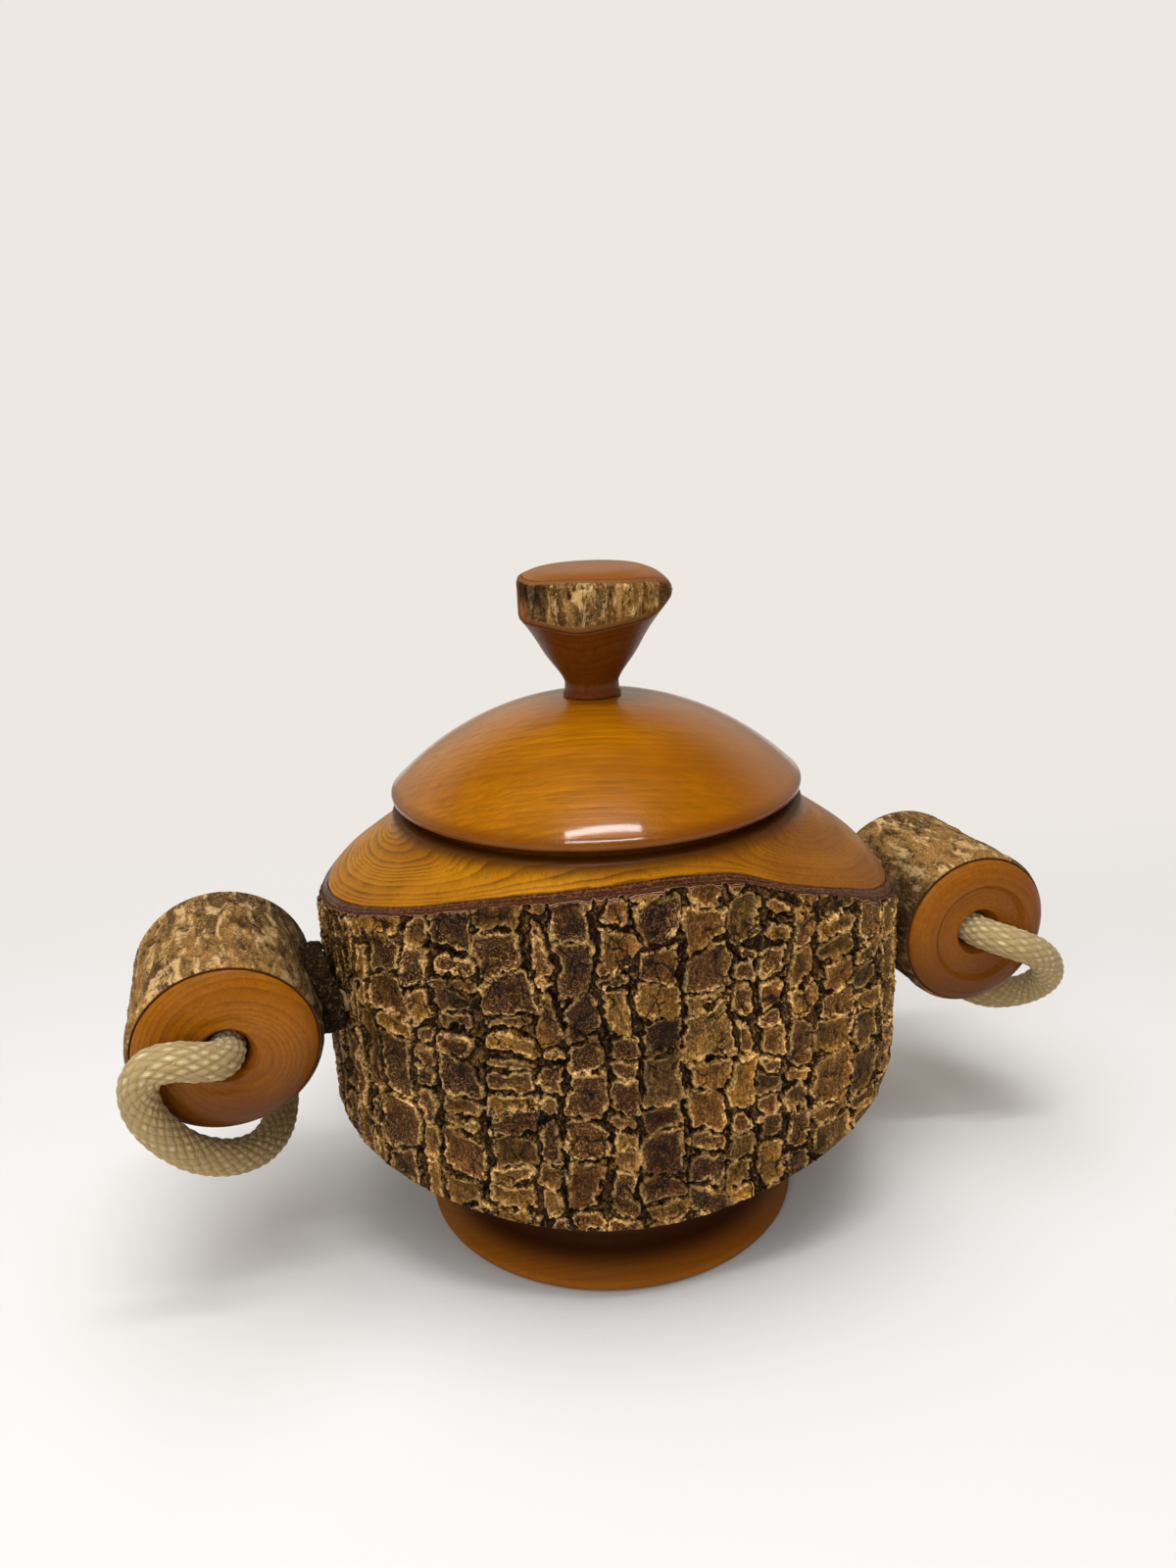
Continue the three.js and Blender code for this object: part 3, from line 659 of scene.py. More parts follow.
def varnished_wood(name, light, dark, line, spacing, fibre_scale, fibre_turn=(0, 0, 0),
                   waver=1.6, rings=0.75, roughness=0.3, coat=0.5, gloss=0.12, side=None,
                   worn=0.1, foot=False, lathe=0.0, grain_share=0.45, tints_and_painted_shade=(),
                   specular=0.08, uneven=0.35):
    """Lacquered wood whose rings follow the mark 'depth' and whose fibres follow one axis.

    side is where the darker side starts and is full, in metres, and its share. Each tint is two
    heights in metres, its share at each of them and its colour; some tints are the wood's own
    colour, others painted shade. foot says to paint shade into the foot's cove.
    """
    material, b = blank_material(
        name, Coat_Weight=coat, Coat_Roughness=gloss, IOR=1.5, Specular_IOR_Level=specular)
    plain = b.place()
    along = b.stretched(b.stretched(plain, (1, 1, 1), fibre_turn), fibre_scale)
    ring = use_group(b, rings_group(), Depth=b.mark("depth"), Vector=plain, Spacing=spacing,
                     Waver=waver)
    grain = use_group(b, fibre_group(), Vector=along, Plain=plain)
    share = b.times(grain["Cloud"], 0.55)
    lines = b.times(ring["Line"], rings)
    if side:
        start, full, most = side
        across = b.axis(plain, "X")
        share = b.plus(share, b.fit(across, start, full, 0.0, most, True), True)
        lines = b.times(lines, b.fit(across, start, full, 1.0, 0.45, True))
    share = b.plus(share, b.times(ring["Broad"], 0.25), True)
    colour = b.mix(share, light, dark)
    colour = b.mix(b.times(grain["Streak"], grain_share), colour, scaled(light, 0.5))
    colour = b.mix(lines, colour, line)
    colour = b.mix(b.times(grain["Fleck"], 0.4), colour, line)
    colour = b.mix(b.times(grain["Wear"], worn), colour, scaled(light, 1.3, 0.06))
    up = b.axis(plain, "Z")
    # Tints by height: some are the wood's own colour, others painted shade, as each material gives
    # them.
    for low, high, share_low, share_high, stain in tints_and_painted_shade:
        colour = b.mix(b.fit(up, low, high, share_low, share_high, True), colour, stain)
    # Painted shade: the foot's cove, under the belly, is painted nearly black.
    if foot:
        cove = b.times(b.fit(up, 0.0025, 0.012, smooth=True), b.fit(up, 0.034, 0.05, 1.0, 0.0))
        colour = b.mix(b.times(cove, 0.97), colour, COVE_SHADE)
    rough = b.plus(b.plus(roughness, b.times(grain["Wear"], 2.5 * worn)),
                   b.times(grain["Cloud"], 0.1))
    height = b.plus(b.times(grain["Streak"], 0.5), b.times(ring["Line"], -0.6))
    height = b.minus(height, b.times(grain["Fleck"], 0.5))
    height = b.plus(height, b.times(b.noise(plain, 140, 2), 1.2))
    if lathe:
        # Fine turning lines round the axis, and a pitted rim.
        flat = b.put("ShaderNodeVectorMath", 0, dict(operation="MULTIPLY"), i0=plain,
                     i1=(1, 1, 0))
        radius = b.length(flat)
        ridges = b.put("ShaderNodeTexNoise", 0, dict(noise_dimensions="1D"), W=radius,
                       Scale=700, Detail=4)
        pitted = b.times(b.noise(plain, 900, 2, 0.6), b.fit(radius, 0.060, 0.069))
        height = b.plus(height, b.times(ridges, lathe))
        height = b.plus(height, b.times(pitted, 2.2 * lathe))
    b.finish(colour, rough, height, uneven, 0.00025)
    return material


def rough_bark(colours):
    """Plated bark: black cracks, mossy furrows, brown or ochre plates with pale broken rims,
    painted shade in the deep parts and painted light on the high plates.
    """
    material, b = blank_material(
        "Plated bark", IOR=1.45, Specular_IOR_Level=0.1, Coat_Weight=0.12, Coat_Roughness=0.2)
    plain = b.place()
    relief, edge, tone, kind = b.marks("plates")
    cut = b.mark("cut")
    grit = use_group(b, grit_group(), Vector=plain)
    # Distance inside the plate in millimetres, frayed at three sizes.
    frayed = b.minus(b.times(edge, EDGE_SPAN), EDGE_OUTSIDE)
    for scale, reach in ((330, 2.6), (900, 1.7), (2400, 0.8)):
        sway = b.minus(b.noise(plain, scale, 2, 0.5), 0.5)
        frayed = b.plus(frayed, b.times(sway, reach))
    # Furrow floor: dark, with brown crumbs and a few pale flakes.
    moss = b.mix(grit["Coarse"], colours.furrow, (0.17, 0.088, 0.028))
    moss = b.mix(b.times(b.fit(grit["Fine"], 0.5, 0.9), 0.8), moss, (0.40, 0.25, 0.095))
    moss = b.mix(b.times(b.fit(grit["Patch"], 0.4, 0.9), 0.6), moss, (0.040, 0.026, 0.010))
    flake = b.fit(b.noise(plain, 560, 4, 0.7, 0.8), 0.57, 0.64)
    moss = b.mix(b.times(flake, 0.85), moss, (0.52, 0.33, 0.13))
    # Heart of the plate: its kind, a golden right side, upright fibre and grit.
    heart = b.ramp(kind, PLATE_KINDS)
    golden = b.fit(b.axis(plain, "X"), 0.0, 0.08, 0.0, 0.6)
    heart = b.mix(golden, heart, (0.42, 0.23, 0.05))
    upright = b.fit(b.noise(b.stretched(plain, (1, 1, 0.16)), 1100, 4, 0.7), 0.38, 0.62)
    heart = b.mix(b.times(upright, 0.8), heart, (0.034, 0.012, 0.003))
    heart = b.mix(b.fit(grit["Coarse"], 0.4, 0.95, 0.0, 0.6), heart, (0.045, 0.018, 0.005))
    heart = b.mix(b.times(b.fit(grit["Fine"], 0.65, 0.95), 0.25), heart, (0.58, 0.36, 0.13))
    # Sheets of the plate show as nested light and dark contours.
    sheets = b.math("FRACT", b.plus(b.math("DIVIDE", frayed, SHEET), tone))
    strength = b.times(b.fit(tone, 0.1, 0.9, 0.25, 1.0),
                       b.fit(grit["Patch"], 0.2, 0.8, 0.35, 1.0))
    light = b.times(b.fit(sheets, 0.0, 0.34, 1.0, 0.0, True), strength)
    dark = b.times(b.fit(sheets, 0.70, 0.98, 0.0, 1.0, True), strength)
    pale = b.mix(grit["Fine"], colours.plate_rim, (0.92, 0.70, 0.38))
    plate = b.mix(b.times(light, 0.95), heart, pale)
    plate = b.mix(b.times(dark, 0.85), plate, (0.022, 0.009, 0.003))
    # Pale broken rim.
    rim = b.times(b.fit(frayed, 0.0, 0.35, smooth=True),
                  b.fit(frayed, 0.7, 1.7, 1.0, 0.0, True))
    plate = b.mix(b.times(rim, b.fit(grit["Patch"], 0.15, 0.6, 0.25, 0.95)), plate, pale)
    colour = b.mix(b.fit(frayed, -0.15, 0.2, smooth=True), moss, plate)
    # Painted shade: a thin black line just outside the plates, and near black on everything that
    # lies deep.
    shadow = b.times(b.fit(b.math("ABSOLUTE", b.plus(frayed, 0.5)), 0.22, 0.55, 1.0, 0.0),
                     b.fit(grit["Patch"], 0.3, 0.7, 1.0, 0.25))
    deep = b.fit(relief, 0.04, 0.16, 0.9, 0.0)
    # Hairline cracks that wander over plates and furrows.
    bent = b.put("ShaderNodeVectorMath", 0, dict(operation="MULTIPLY_ADD"),
                 i0=b.put("ShaderNodeTexNoise", 1, Vector=plain, Scale=260, Detail=3),
                 i1=(0.006, 0.006, 0.006), i2=plain)
    hairline = b.put("ShaderNodeTexVoronoi", 0, dict(feature="DISTANCE_TO_EDGE"),
                     Vector=b.stretched(bent, (1, 1, 0.75)), Scale=150)
    hairline = b.times(b.fit(hairline, 0.02, 0.06, 1.0, 0.0),
                       b.fit(b.noise(plain, 75, 2), 0.46, 0.56))
    # All of it, painted shade and hairline cracks alike, is painted near black.
    cracks = b.math("MAXIMUM", b.times(shadow, 0.9), deep)
    cracks = b.math("MAXIMUM", cracks, b.times(hairline, 0.9))
    colour = b.mix(cracks, colour, (0.006, 0.003, 0.001))
    # Painted light and shade: high plates are painted paler and warmer than low ones.
    shade = b.times(b.fit(grit["Fine"], 0, 1, 0.65, 1.5),
                    b.fit(b.noise(plain, 60, 3), 0.3, 0.7, 0.7, 1.35))
    shade = b.times(shade, b.fit(relief, 0.25, 0.95, 0.38, 1.85))
    shade = b.times(shade, b.fit(golden, 0.0, 0.6, 0.95, 1.4))
    colour = b.mix(1.0, colour, b.put(
        "ShaderNodeCombineColor", Red=b.times(shade, 0.68), Green=b.times(shade, 0.56),
        Blue=b.times(shade, 0.40)), "MULTIPLY")
    # Layers of the bark on the turned cut.
    layers = b.math("FRACT", b.plus(b.times(cut, 3.4), b.times(b.noise(plain, 130, 2), 1.4)))
    layer = b.mix(b.fit(cut, 0.42, 0.52, 0.85, 0.0), b.ramp(layers, BARK_LAYERS),
                  colours.dark_band)
    colour = b.mix(b.fit(cut, 0.01, 0.05), colour, layer)
    height = b.plus(b.times(grit["Coarse"], 0.9), b.times(grit["Fine"], 0.45))
    height = b.plus(height, b.times(b.minus(light, dark), 0.6))
    b.finish(colour, b.fit(grit["Coarse"], 0, 1, 0.9, 0.55), b.minus(height, cracks), 0.9, 0.0008)
    return material


def band_material(colours):
    """Dark inner bark, lacquered over, with thin lighter sheets in it."""
    material, b = blank_material("Dark inner bark", IOR=1.5, Specular_IOR_Level=0.22)
    plain = b.place()
    grit = use_group(b, grit_group(), Vector=plain)
    sheets = b.math("SINE", b.plus(b.times(b.mark("cut"), 12.0),
                                   b.times(b.noise(plain, 150, 2), 5.0)))
    colour = b.mix(b.fit(sheets, 0.2, 1.0, 0.0, 0.75), colours.dark_band, (0.20, 0.065, 0.018))
    colour = b.mix(b.times(grit["Coarse"], 0.7), colour, (0.016, 0.005, 0.002))
    colour = b.mix(b.times(b.fit(grit["Fine"], 0.6, 0.9), 0.4), colour, (0.30, 0.13, 0.045))
    b.finish(colour, b.fit(grit["Patch"], 0, 1, 0.14, 0.42), grit["Coarse"], 0.8, 0.0005)
    return material


def branch_skin(name, colours, scale, turn, cut_tone=(0.075, 0.026, 0.010)):
    """Thin branch bark: tan skin with dark pits and streaks along the branch."""
    material, b = blank_material(name, IOR=1.45, Specular_IOR_Level=0.1)
    plain = b.place()
    along = b.stretched(plain, scale, turn)
    relief, stain, cut, brown = b.marks("skin")
    grit = use_group(b, grit_group(), Vector=along)
    spots = use_group(b, grit_group(), Vector=plain)
    colour = b.mix(b.times(grit["Coarse"], 0.7), scaled(colours.skin, 0.6),
                   scaled(colours.skin, 1.7))
    patch = b.fit(b.noise(along, 90, 5, 0.65, 0.6), 0.47, 0.56)
    colour = b.mix(b.times(patch, 0.85), colour, (0.062, 0.029, 0.009))
    pale = b.fit(b.noise(along, 210, 5, 0.7, 0.5), 0.52, 0.60)
    colour = b.mix(b.times(pale, 0.85), colour, (0.66, 0.43, 0.18))
    colour = b.mix(b.fit(spots["Fine"], 0.65, 1.0, 0.0, 0.5), colour, (0.70, 0.46, 0.20))
    pits = b.times(b.fit(spots["Coarse"], 0.25, 0.0), 0.8)
    colour = b.mix(pits, colour, (0.040, 0.019, 0.007))
    # Painted shade: the deeper parts of the relief are painted near black.
    colour = b.mix(b.fit(relief, 0.62, 0.25, 0.0, 0.9), colour, (0.030, 0.014, 0.006))
    colour = b.mix(b.times(brown, 0.8), colour, (0.20, 0.062, 0.012))
    colour = b.mix(b.times(stain, b.fit(grit["Coarse"], 0, 1, 1.0, 0.7)), colour,
                   (0.012, 0.007, 0.004))
    colour = b.mix(b.fit(cut, 0.3, 0.7), colour, cut_tone)
    height = b.plus(grit["Coarse"], b.times(spots["Fine"], 0.5))
    b.finish(colour, b.fit(grit["Coarse"], 0, 1, 0.85, 0.6), height, 0.7, 0.0004)
    return material


def rope_fibre(colours):
    """Braided fibre: each strand has yarns along it, painted shade darkens the grooves between the
    strands, and a painted highlight lightens the strand tops.
    """
    material, b = blank_material("Braided fibre", Specular_IOR_Level=0.25, Sheen_Weight=0.15,
                                 Sheen_Roughness=0.5)
    crown, across, shade, _ = b.marks("braid")
    grit = use_group(b, grit_group(), Vector=b.place())
    yarn = b.math("SINE", b.plus(b.times(across, 34.0), b.times(grit["Patch"], 2.0)))
    # Painted shade in the grooves between the strands.
    colour = b.mix(b.fit(crown, 0.0, 0.42, smooth=True), (0.27, 0.18, 0.07), colours.rope)
    colour = b.mix(b.fit(yarn, -1, 1, 0.35, 0.0), colour, (0.34, 0.23, 0.09))
    # Painted highlight on the tops of the strands, stronger on some strands than others.
    colour = b.mix(b.times(b.fit(crown, 0.6, 1.0), b.fit(shade, 0.3, 1.0, 0, 0.8)), colour,
                   (0.92, 0.78, 0.50))
    colour = b.mix(b.times(grit["Fine"], 0.3), colour, (0.34, 0.24, 0.10))
    height = b.plus(b.times(yarn, 0.5), grit["Fine"])
    b.finish(colour, b.fit(grit["Coarse"], 0, 1, 0.5, 0.75), height, 0.6, 0.0003)
    return material


def dust_material():
    """Sawdust set in glue: dark crumbs with a few pale ones."""
    material, b = blank_material("Glue and sawdust", IOR=1.5, Specular_IOR_Level=0.08)
    grit = use_group(b, grit_group(), Vector=b.place())
    colour = b.mix(grit["Coarse"], (0.005, 0.0025, 0.001), (0.040, 0.021, 0.008))
    colour = b.mix(b.fit(grit["Fine"], 0.7, 1.0, 0.0, 0.8), colour, (0.20, 0.12, 0.055))
    b.finish(colour, b.fit(grit["Fine"], 0, 1, 0.5, 0.85), grit["Coarse"], 1.0, 0.0014)
    return material


class PotStage(bpy.types.Operator):
    """Camera, floor, backdrop and lamps"""
    bl_idname = "pot.stage"
    bl_label = "Stage"

    def execute(self, context):
        colours = context.scene.pot_colours
        self.camera(context)
        self.floor(colours)
        self.lamps()
        self.world(context, colours)
        return {"FINISHED"}

    def camera(self, context):
        """The camera where the photo was taken from."""
        ahead = Vector((math.sin(CAMERA_YAW) * math.cos(CAMERA_PITCH),
                        math.cos(CAMERA_YAW) * math.cos(CAMERA_PITCH), -math.sin(CAMERA_PITCH)))
        right = ahead.cross(Vector((0, 0, 1))).normalized()
        up = right.cross(ahead)
        tilt_right = math.cos(CAMERA_ROLL) * right + math.sin(CAMERA_ROLL) * up
        tilt_up = -math.sin(CAMERA_ROLL) * right + math.cos(CAMERA_ROLL) * up
        turn = Matrix.Rotation(-HANDLE_TURN, 3, "Z")
        axes = Matrix((turn @ tilt_right, turn @ tilt_up, turn @ -ahead)).transposed()
        clear_selection()
        bpy.ops.object.camera_add()
        camera = context.object
        camera.name = "camera"
        camera.data.lens = CAMERA_LENS
        camera.data.sensor_width = CAMERA_SENSOR
        camera.data.sensor_fit = "AUTO"
        camera.data.clip_start = 0.02
        camera.data.clip_end = 20
        camera.matrix_world = Matrix.Translation(CAMERA_PLACE) @ axes.to_4x4()
        context.scene.camera = camera

    def floor(self, colours):
        """A flat floor that fades into the backdrop's colour away from the pot."""
        clear_selection()
        bpy.ops.mesh.primitive_grid_add(x_subdivisions=8, y_subdivisions=8, size=6)
        floor = bpy.context.object
        floor.name = "floor"
        material = bpy.data.materials.new("Pale floor")
        material.use_nodes = True
        b = Bench(material.node_tree, bare=True)
        place = b.place()
        back = b.axis(b.stretched(place, (1, 1, 1), (0, 0, HANDLE_TURN)), "Y")
        around = b.length(place)
        rays = b.put("ShaderNodeLightPath", None).outputs
        seen = b.math("MAXIMUM", rays["Is Camera Ray"], rays["Is Glossy Ray"])
        # Painted shadow: ambient occlusion darkens the floor's colour near the pot, for camera and
        # glossy rays.
        near = b.put("ShaderNodeAmbientOcclusion", "AO", dict(samples=8), Distance=0.07)
        floor_with_painted_shadow = b.mix(b.fit(near, 0.3, 0.85, 0.42, 0.0), colours.floor, (0.12, 0.12, 0.12))
        lit = b.put("ShaderNodeBsdfDiffuse", Color=b.mix(seen, (0.64, 0.57, 0.48), floor_with_painted_shadow))
        paler = b.math("MAXIMUM", b.fit(back, -0.1, 0.40), b.fit(around, 0.5, 1.5, smooth=True))
        glow = b.put("ShaderNodeEmission", Strength=1.0,
                     Color=b.mix(paler, (0.90, 0.88, 0.86), colours.backdrop))
        far = b.math("MAXIMUM", b.fit(back, 0.10, 0.42, smooth=True),
                     b.fit(around, 0.36, 0.75, smooth=True))
        surface = b.put("ShaderNodeMixShader", i0=b.times(far, seen), i1=lit, i2=glow)
        out = b.put("ShaderNodeOutputMaterial", None)
        b.tree.links.new(surface, out.inputs["Surface"])
        floor.data.materials.append(material)

    def lamps(self):
        """A wide soft lamp overhead, a window lamp in front and a weak fill."""
        for name, place, target, size, power in LAMPS:
            clear_selection()
            bpy.ops.object.light_add(type="AREA", location=place)
            lamp = bpy.context.object
            lamp.name = name
            lamp.data.shape = "RECTANGLE"
            lamp.data.size, lamp.data.size_y = size
            lamp.data.energy = power
            lamp.visible_glossy = name == "window"
            aim = Vector(target) - Vector(place)
            lamp.rotation_euler = aim.to_track_quat("-Z", "Y").to_euler()

    def world(self, context, colours):
        """Soft light from all round, and the backdrop's colour where the camera looks past."""
        world = context.scene.world or bpy.data.worlds.new("Studio")
        context.scene.world = world
        world.use_nodes = True
        b = Bench(world.node_tree, bare=True)
        sky = b.put("ShaderNodeTexCoord", "Generated")
        behind = b.axis(b.stretched(sky, (1, 1, 1), (0, 0, HANDLE_TURN)), "Y")
        soft = b.put("ShaderNodeBackground", Color=b.ramp(b.axis(sky, "Z"), STUDIO_LEVELS),
                     Strength=b.fit(behind, -0.1, 0.6, 0.32, 1.0, True))
        plain = b.put("ShaderNodeBackground", Color=tuple(colours.backdrop), Strength=1.0)
        seen = b.put("ShaderNodeLightPath", "Is Camera Ray")
        mixed = b.put("ShaderNodeMixShader", i0=seen, i1=soft, i2=plain)
        out = b.put("ShaderNodeOutputWorld", None)
        b.tree.links.new(mixed, out.inputs["Surface"])
        context.scene.view_settings.view_transform = "Standard"


def braided(route, centre, pitch, strands):
    """A mesh tube along the rope's route, with the strands of the braid raised on it."""
    line = rounded(route, 40) + centre
    walked = np.concatenate([[0], np.cumsum(np.linalg.norm(np.diff(line, axis=0), axis=1))])
    length = walked[-1]
    steps = np.linspace(0, length, ROPE_COLUMNS)
    path = np.stack([np.interp(steps, walked, line[:, i]) for i in range(3)], -1)
    ahead = np.gradient(path, axis=0)
    ahead /= np.linalg.norm(ahead, axis=1, keepdims=True)
    side = np.cross(ahead[0], (0, 0, 1.0))
    side /= np.linalg.norm(side)
    sides = []
    for direction in ahead:
        side = side - direction * (side @ direction)
        side /= np.linalg.norm(side)
        sides.append(side)
    sides = np.array(sides)
    ups = np.cross(ahead, sides)
    angle = circle(ROPE_SIDES)[:, None]
    around = strands * angle / TURN
    along = strands * steps[None, :] / pitch
    rising, falling = around + along, around - along
    over = (np.floor(rising) + np.floor(falling)) % 2 == 0
    across = np.where(over, falling, rising) % 1.0
    within = np.where(over, rising, falling) % 1.0
    crown = np.sin(np.pi * across) ** 0.7 * (0.45 + 0.55 * np.sin(np.pi * within))
    shade = speckle(np.where(over, np.floor(falling), np.floor(rising)),
                    np.where(over, 1.0, 2.0) + 0 * rising, 5)
    radius = ROPE_RADIUS - 0.05 - 0.6 * (1 - crown) + 0.08 * drift(angle * 9, steps[None] / 3, 3)
    radius = np.minimum(radius, ROPE_RADIUS)
    grid = (path[None] + radius[..., None] * (np.cos(angle)[..., None] * sides[None]
                                              + np.sin(angle)[..., None] * ups[None]))
    marks = np.stack([crown, across, shade, within], -1)
    return grid.swapaxes(0, 1), marks.swapaxes(0, 1), path, length


def bore_centre(side):
    """The middle of a handle's bore in millimetres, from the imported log."""
    low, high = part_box(f"{side}_handle_bark")
    return (np.array(low) + np.array(high)) / 2 / MM


class PotRopes(bpy.types.Operator):
    """Both rope loops, as braided tubes along their routes"""
    bl_idname = "pot.ropes"
    bl_label = "Rope loops"

    def execute(self, context):
        sizes = context.scene.pot_sizes
        material = rope_fibre(context.scene.pot_colours)
        for handle, route in ((LEFT, LEFT_ROUTE), (RIGHT, RIGHT_ROUTE)):
            side = handle["side"]
            centre = bore_centre(side)
            grid, marks, path, length = braided(
                route, centre, sizes.strand_pitch / MM, sizes.strands)
            piece = shell(f"{side}_rope", grid, {"braid": marks})
            finish_piece(piece, material, f"{side}_rope", [f"{side}_rope_loop"])
        return {"FINISHED"}


def log_columns(columns):
    """Evenly spaced places round the log: distance walked, edge point, outward direction."""
    along = np.linspace(0, LOG.length, columns, endpoint=False)
    edge, outward = LOG.at(along)
    return along, edge, outward


class PotWood(bpy.types.Operator):
    """The pot's turned wood, from the foot to the hollow"""
    bl_idname = "pot.turned_wood"
    bl_label = "Turned wood"

    def execute(self, context):
        colours, sizes = context.scene.pot_colours, context.scene.pot_sizes
        _, edge, _ = log_columns(WOOD_COLUMNS)
        reach = np.hypot(edge[:, 0], edge[:, 1])
        bearing = np.arctan2(edge[:, 1], edge[:, 0])
        lowest = [p for i, p in enumerate(_underside)
                  if i <= _waist_row or p[0] < ROUND_UNDERSIDE]
        below = [(0, 0), (20, 0), (40, 0), (58, 0), (64.6, 0), (65.6, 0), *_lip, *lowest[2::2]]
        above = [
            *beside(COLLAR_RADIUS, SHOULDER_TOP, (0, -1.9), (-0.25, -1.3), (-0.8, -0.6),
                    (-2, -0.05)),
            *beside(SEAT_RADIUS, SHOULDER_TOP, (3, 0), (0.5, 0), (0, 0.5)),
            *beside(SEAT_RADIUS, RIM_HEIGHT, (0, -0.4), (-0.4, 0), (-4, 0)),
            *beside(MOUTH_RADIUS, RIM_HEIGHT, (4, 0), (EASED_EDGE, 0), (0.25, -0.25),
                    (0, -EASED_EDGE)),
            (MOUTH_RADIUS, 150), (MOUTH_RADIUS, 140), (MOUTH_RADIUS, NECK_BOTTOM),
            *flowing([(MOUTH_RADIUS, NECK_BOTTOM), (58.2, 122), (CAVITY_RADIUS, CAVITY_TOP),
                      (CAVITY_RADIUS, 100)], 10)[1:],
            (CAVITY_RADIUS, 85), (CAVITY_RADIUS, 70), (CAVITY_RADIUS, 58),
            *arc(CAVITY_RADIUS - FLOOR_FILLET, FLOOR_THICKNESS + FLOOR_FILLET, FLOOR_FILLET,
                 0, -90, 12),
            (25, FLOOR_THICKNESS), (10, FLOOR_THICKNESS), (0, FLOOR_THICKNESS)]
        rows = [(radius + 0 * reach, height + 0 * reach) for radius, height in below]
        for t in np.linspace(0, 1, 9):
            radius = ROUND_UNDERSIDE + t * (reach - ROUND_UNDERSIDE)
            rows.append((radius, underside_height(radius)))
        low, high = underside_height(reach), shoulder_height(reach)
        rows += [(reach, low + t * (high - low)) for t in (0.02, 0.5, 0.98)]
        for t in np.linspace(0, 1, 48):
            radius = reach + t * (COLLAR_RADIUS - reach)
            rows.append((radius, shoulder_height(radius)))
        rows += [(radius + 0 * reach, height + 0 * reach) for radius, height in above[1:]]
        depth = reach[:, None] - np.stack([r for r, _ in rows], 1)
        piece = spun("pot_wood", turned(rows, bearing), poles=True, marks={"depth": depth},
                     crease=38)
        # foot paints shade into the cove; the first tint makes the foot and underside darker and
        # redder, and the second is a painted shadow on the collar under the lid's overhang.
        material = varnished_wood(
            "Turned log wood", tuple(colours.golden), (0.22, 0.062, 0.002),
            tuple(colours.growth_line), sizes.ring_spacing / MM, (1, 1, 0.12), waver=3.0,
            rings=1.0, roughness=0.4, coat=0.1, gloss=0.16, side=(-0.03, 0.07, 0.6),
            foot=True, tints_and_painted_shade=[(0.036, 0.05, 0.85, 0.0, (0.20, 0.058, 0.004)),
                               (0.153, 0.158, 0.0, 0.9, (0.045, 0.011, 0.001))])
        finish_piece(piece, material, "pot", ["pot_body"])
        return {"FINISHED"}


class PotBand(bpy.types.Operator):
    """The dark band of inner bark between the wood and the rough bark"""
    bl_idname = "pot.dark_band"
    bl_label = "Dark band"

    def execute(self, context):
        colours = context.scene.pot_colours
        along, edge, outward = log_columns(BAND_COLUMNS)
        rows, cuts = [], []

        def add(offset, cut, height):
            """One row at an offset from the edge, at heights or at a height for each radius."""
            point = edge + outward * offset
            z = height(np.hypot(*point.T)) if callable(height) else height
            rows.append(np.concatenate([point, z[:, None]], 1))
            cuts.append(np.full_like(z, cut))

        def cut_shoulder(s):
            """The shoulder, with the fine unevenness of the cut."""
            rough = drift(along / 1.7, s + 0 * along, 5, 2)
            return lambda radius: shoulder_height(radius) + 0.12 * rough - 0.12

        wide = np.hypot(*(edge + outward * BAND_TO).T)
        top, low = shoulder_height(wide), underside_height(wide)
        for s in np.linspace(BAND_FROM, BAND_TO, 8):
            add(s, s / BAND_TO, cut_shoulder(s))
        add(BAND_TO, 1, top - 2.5)
        add(0.9, 1, top - 5)
        add(0.9, 1, low + 5)
        add(BAND_TO, 1, low + 2.5)
        for s in np.linspace(BAND_TO, BAND_FROM, 5):
            add(s, s / BAND_TO, underside_height)
        add(BAND_FROM, 0, low + 6)
        add(BAND_FROM, 0, top - 6)
        grid = np.stack(rows, 1)
        piece = spun("pot_dark_band", grid, marks={"cut": np.stack(cuts, 1)}, crease=45)
        finish_piece(piece, band_material(colours), "pot", ["pot_inner_bark"])
        return {"FINISHED"}


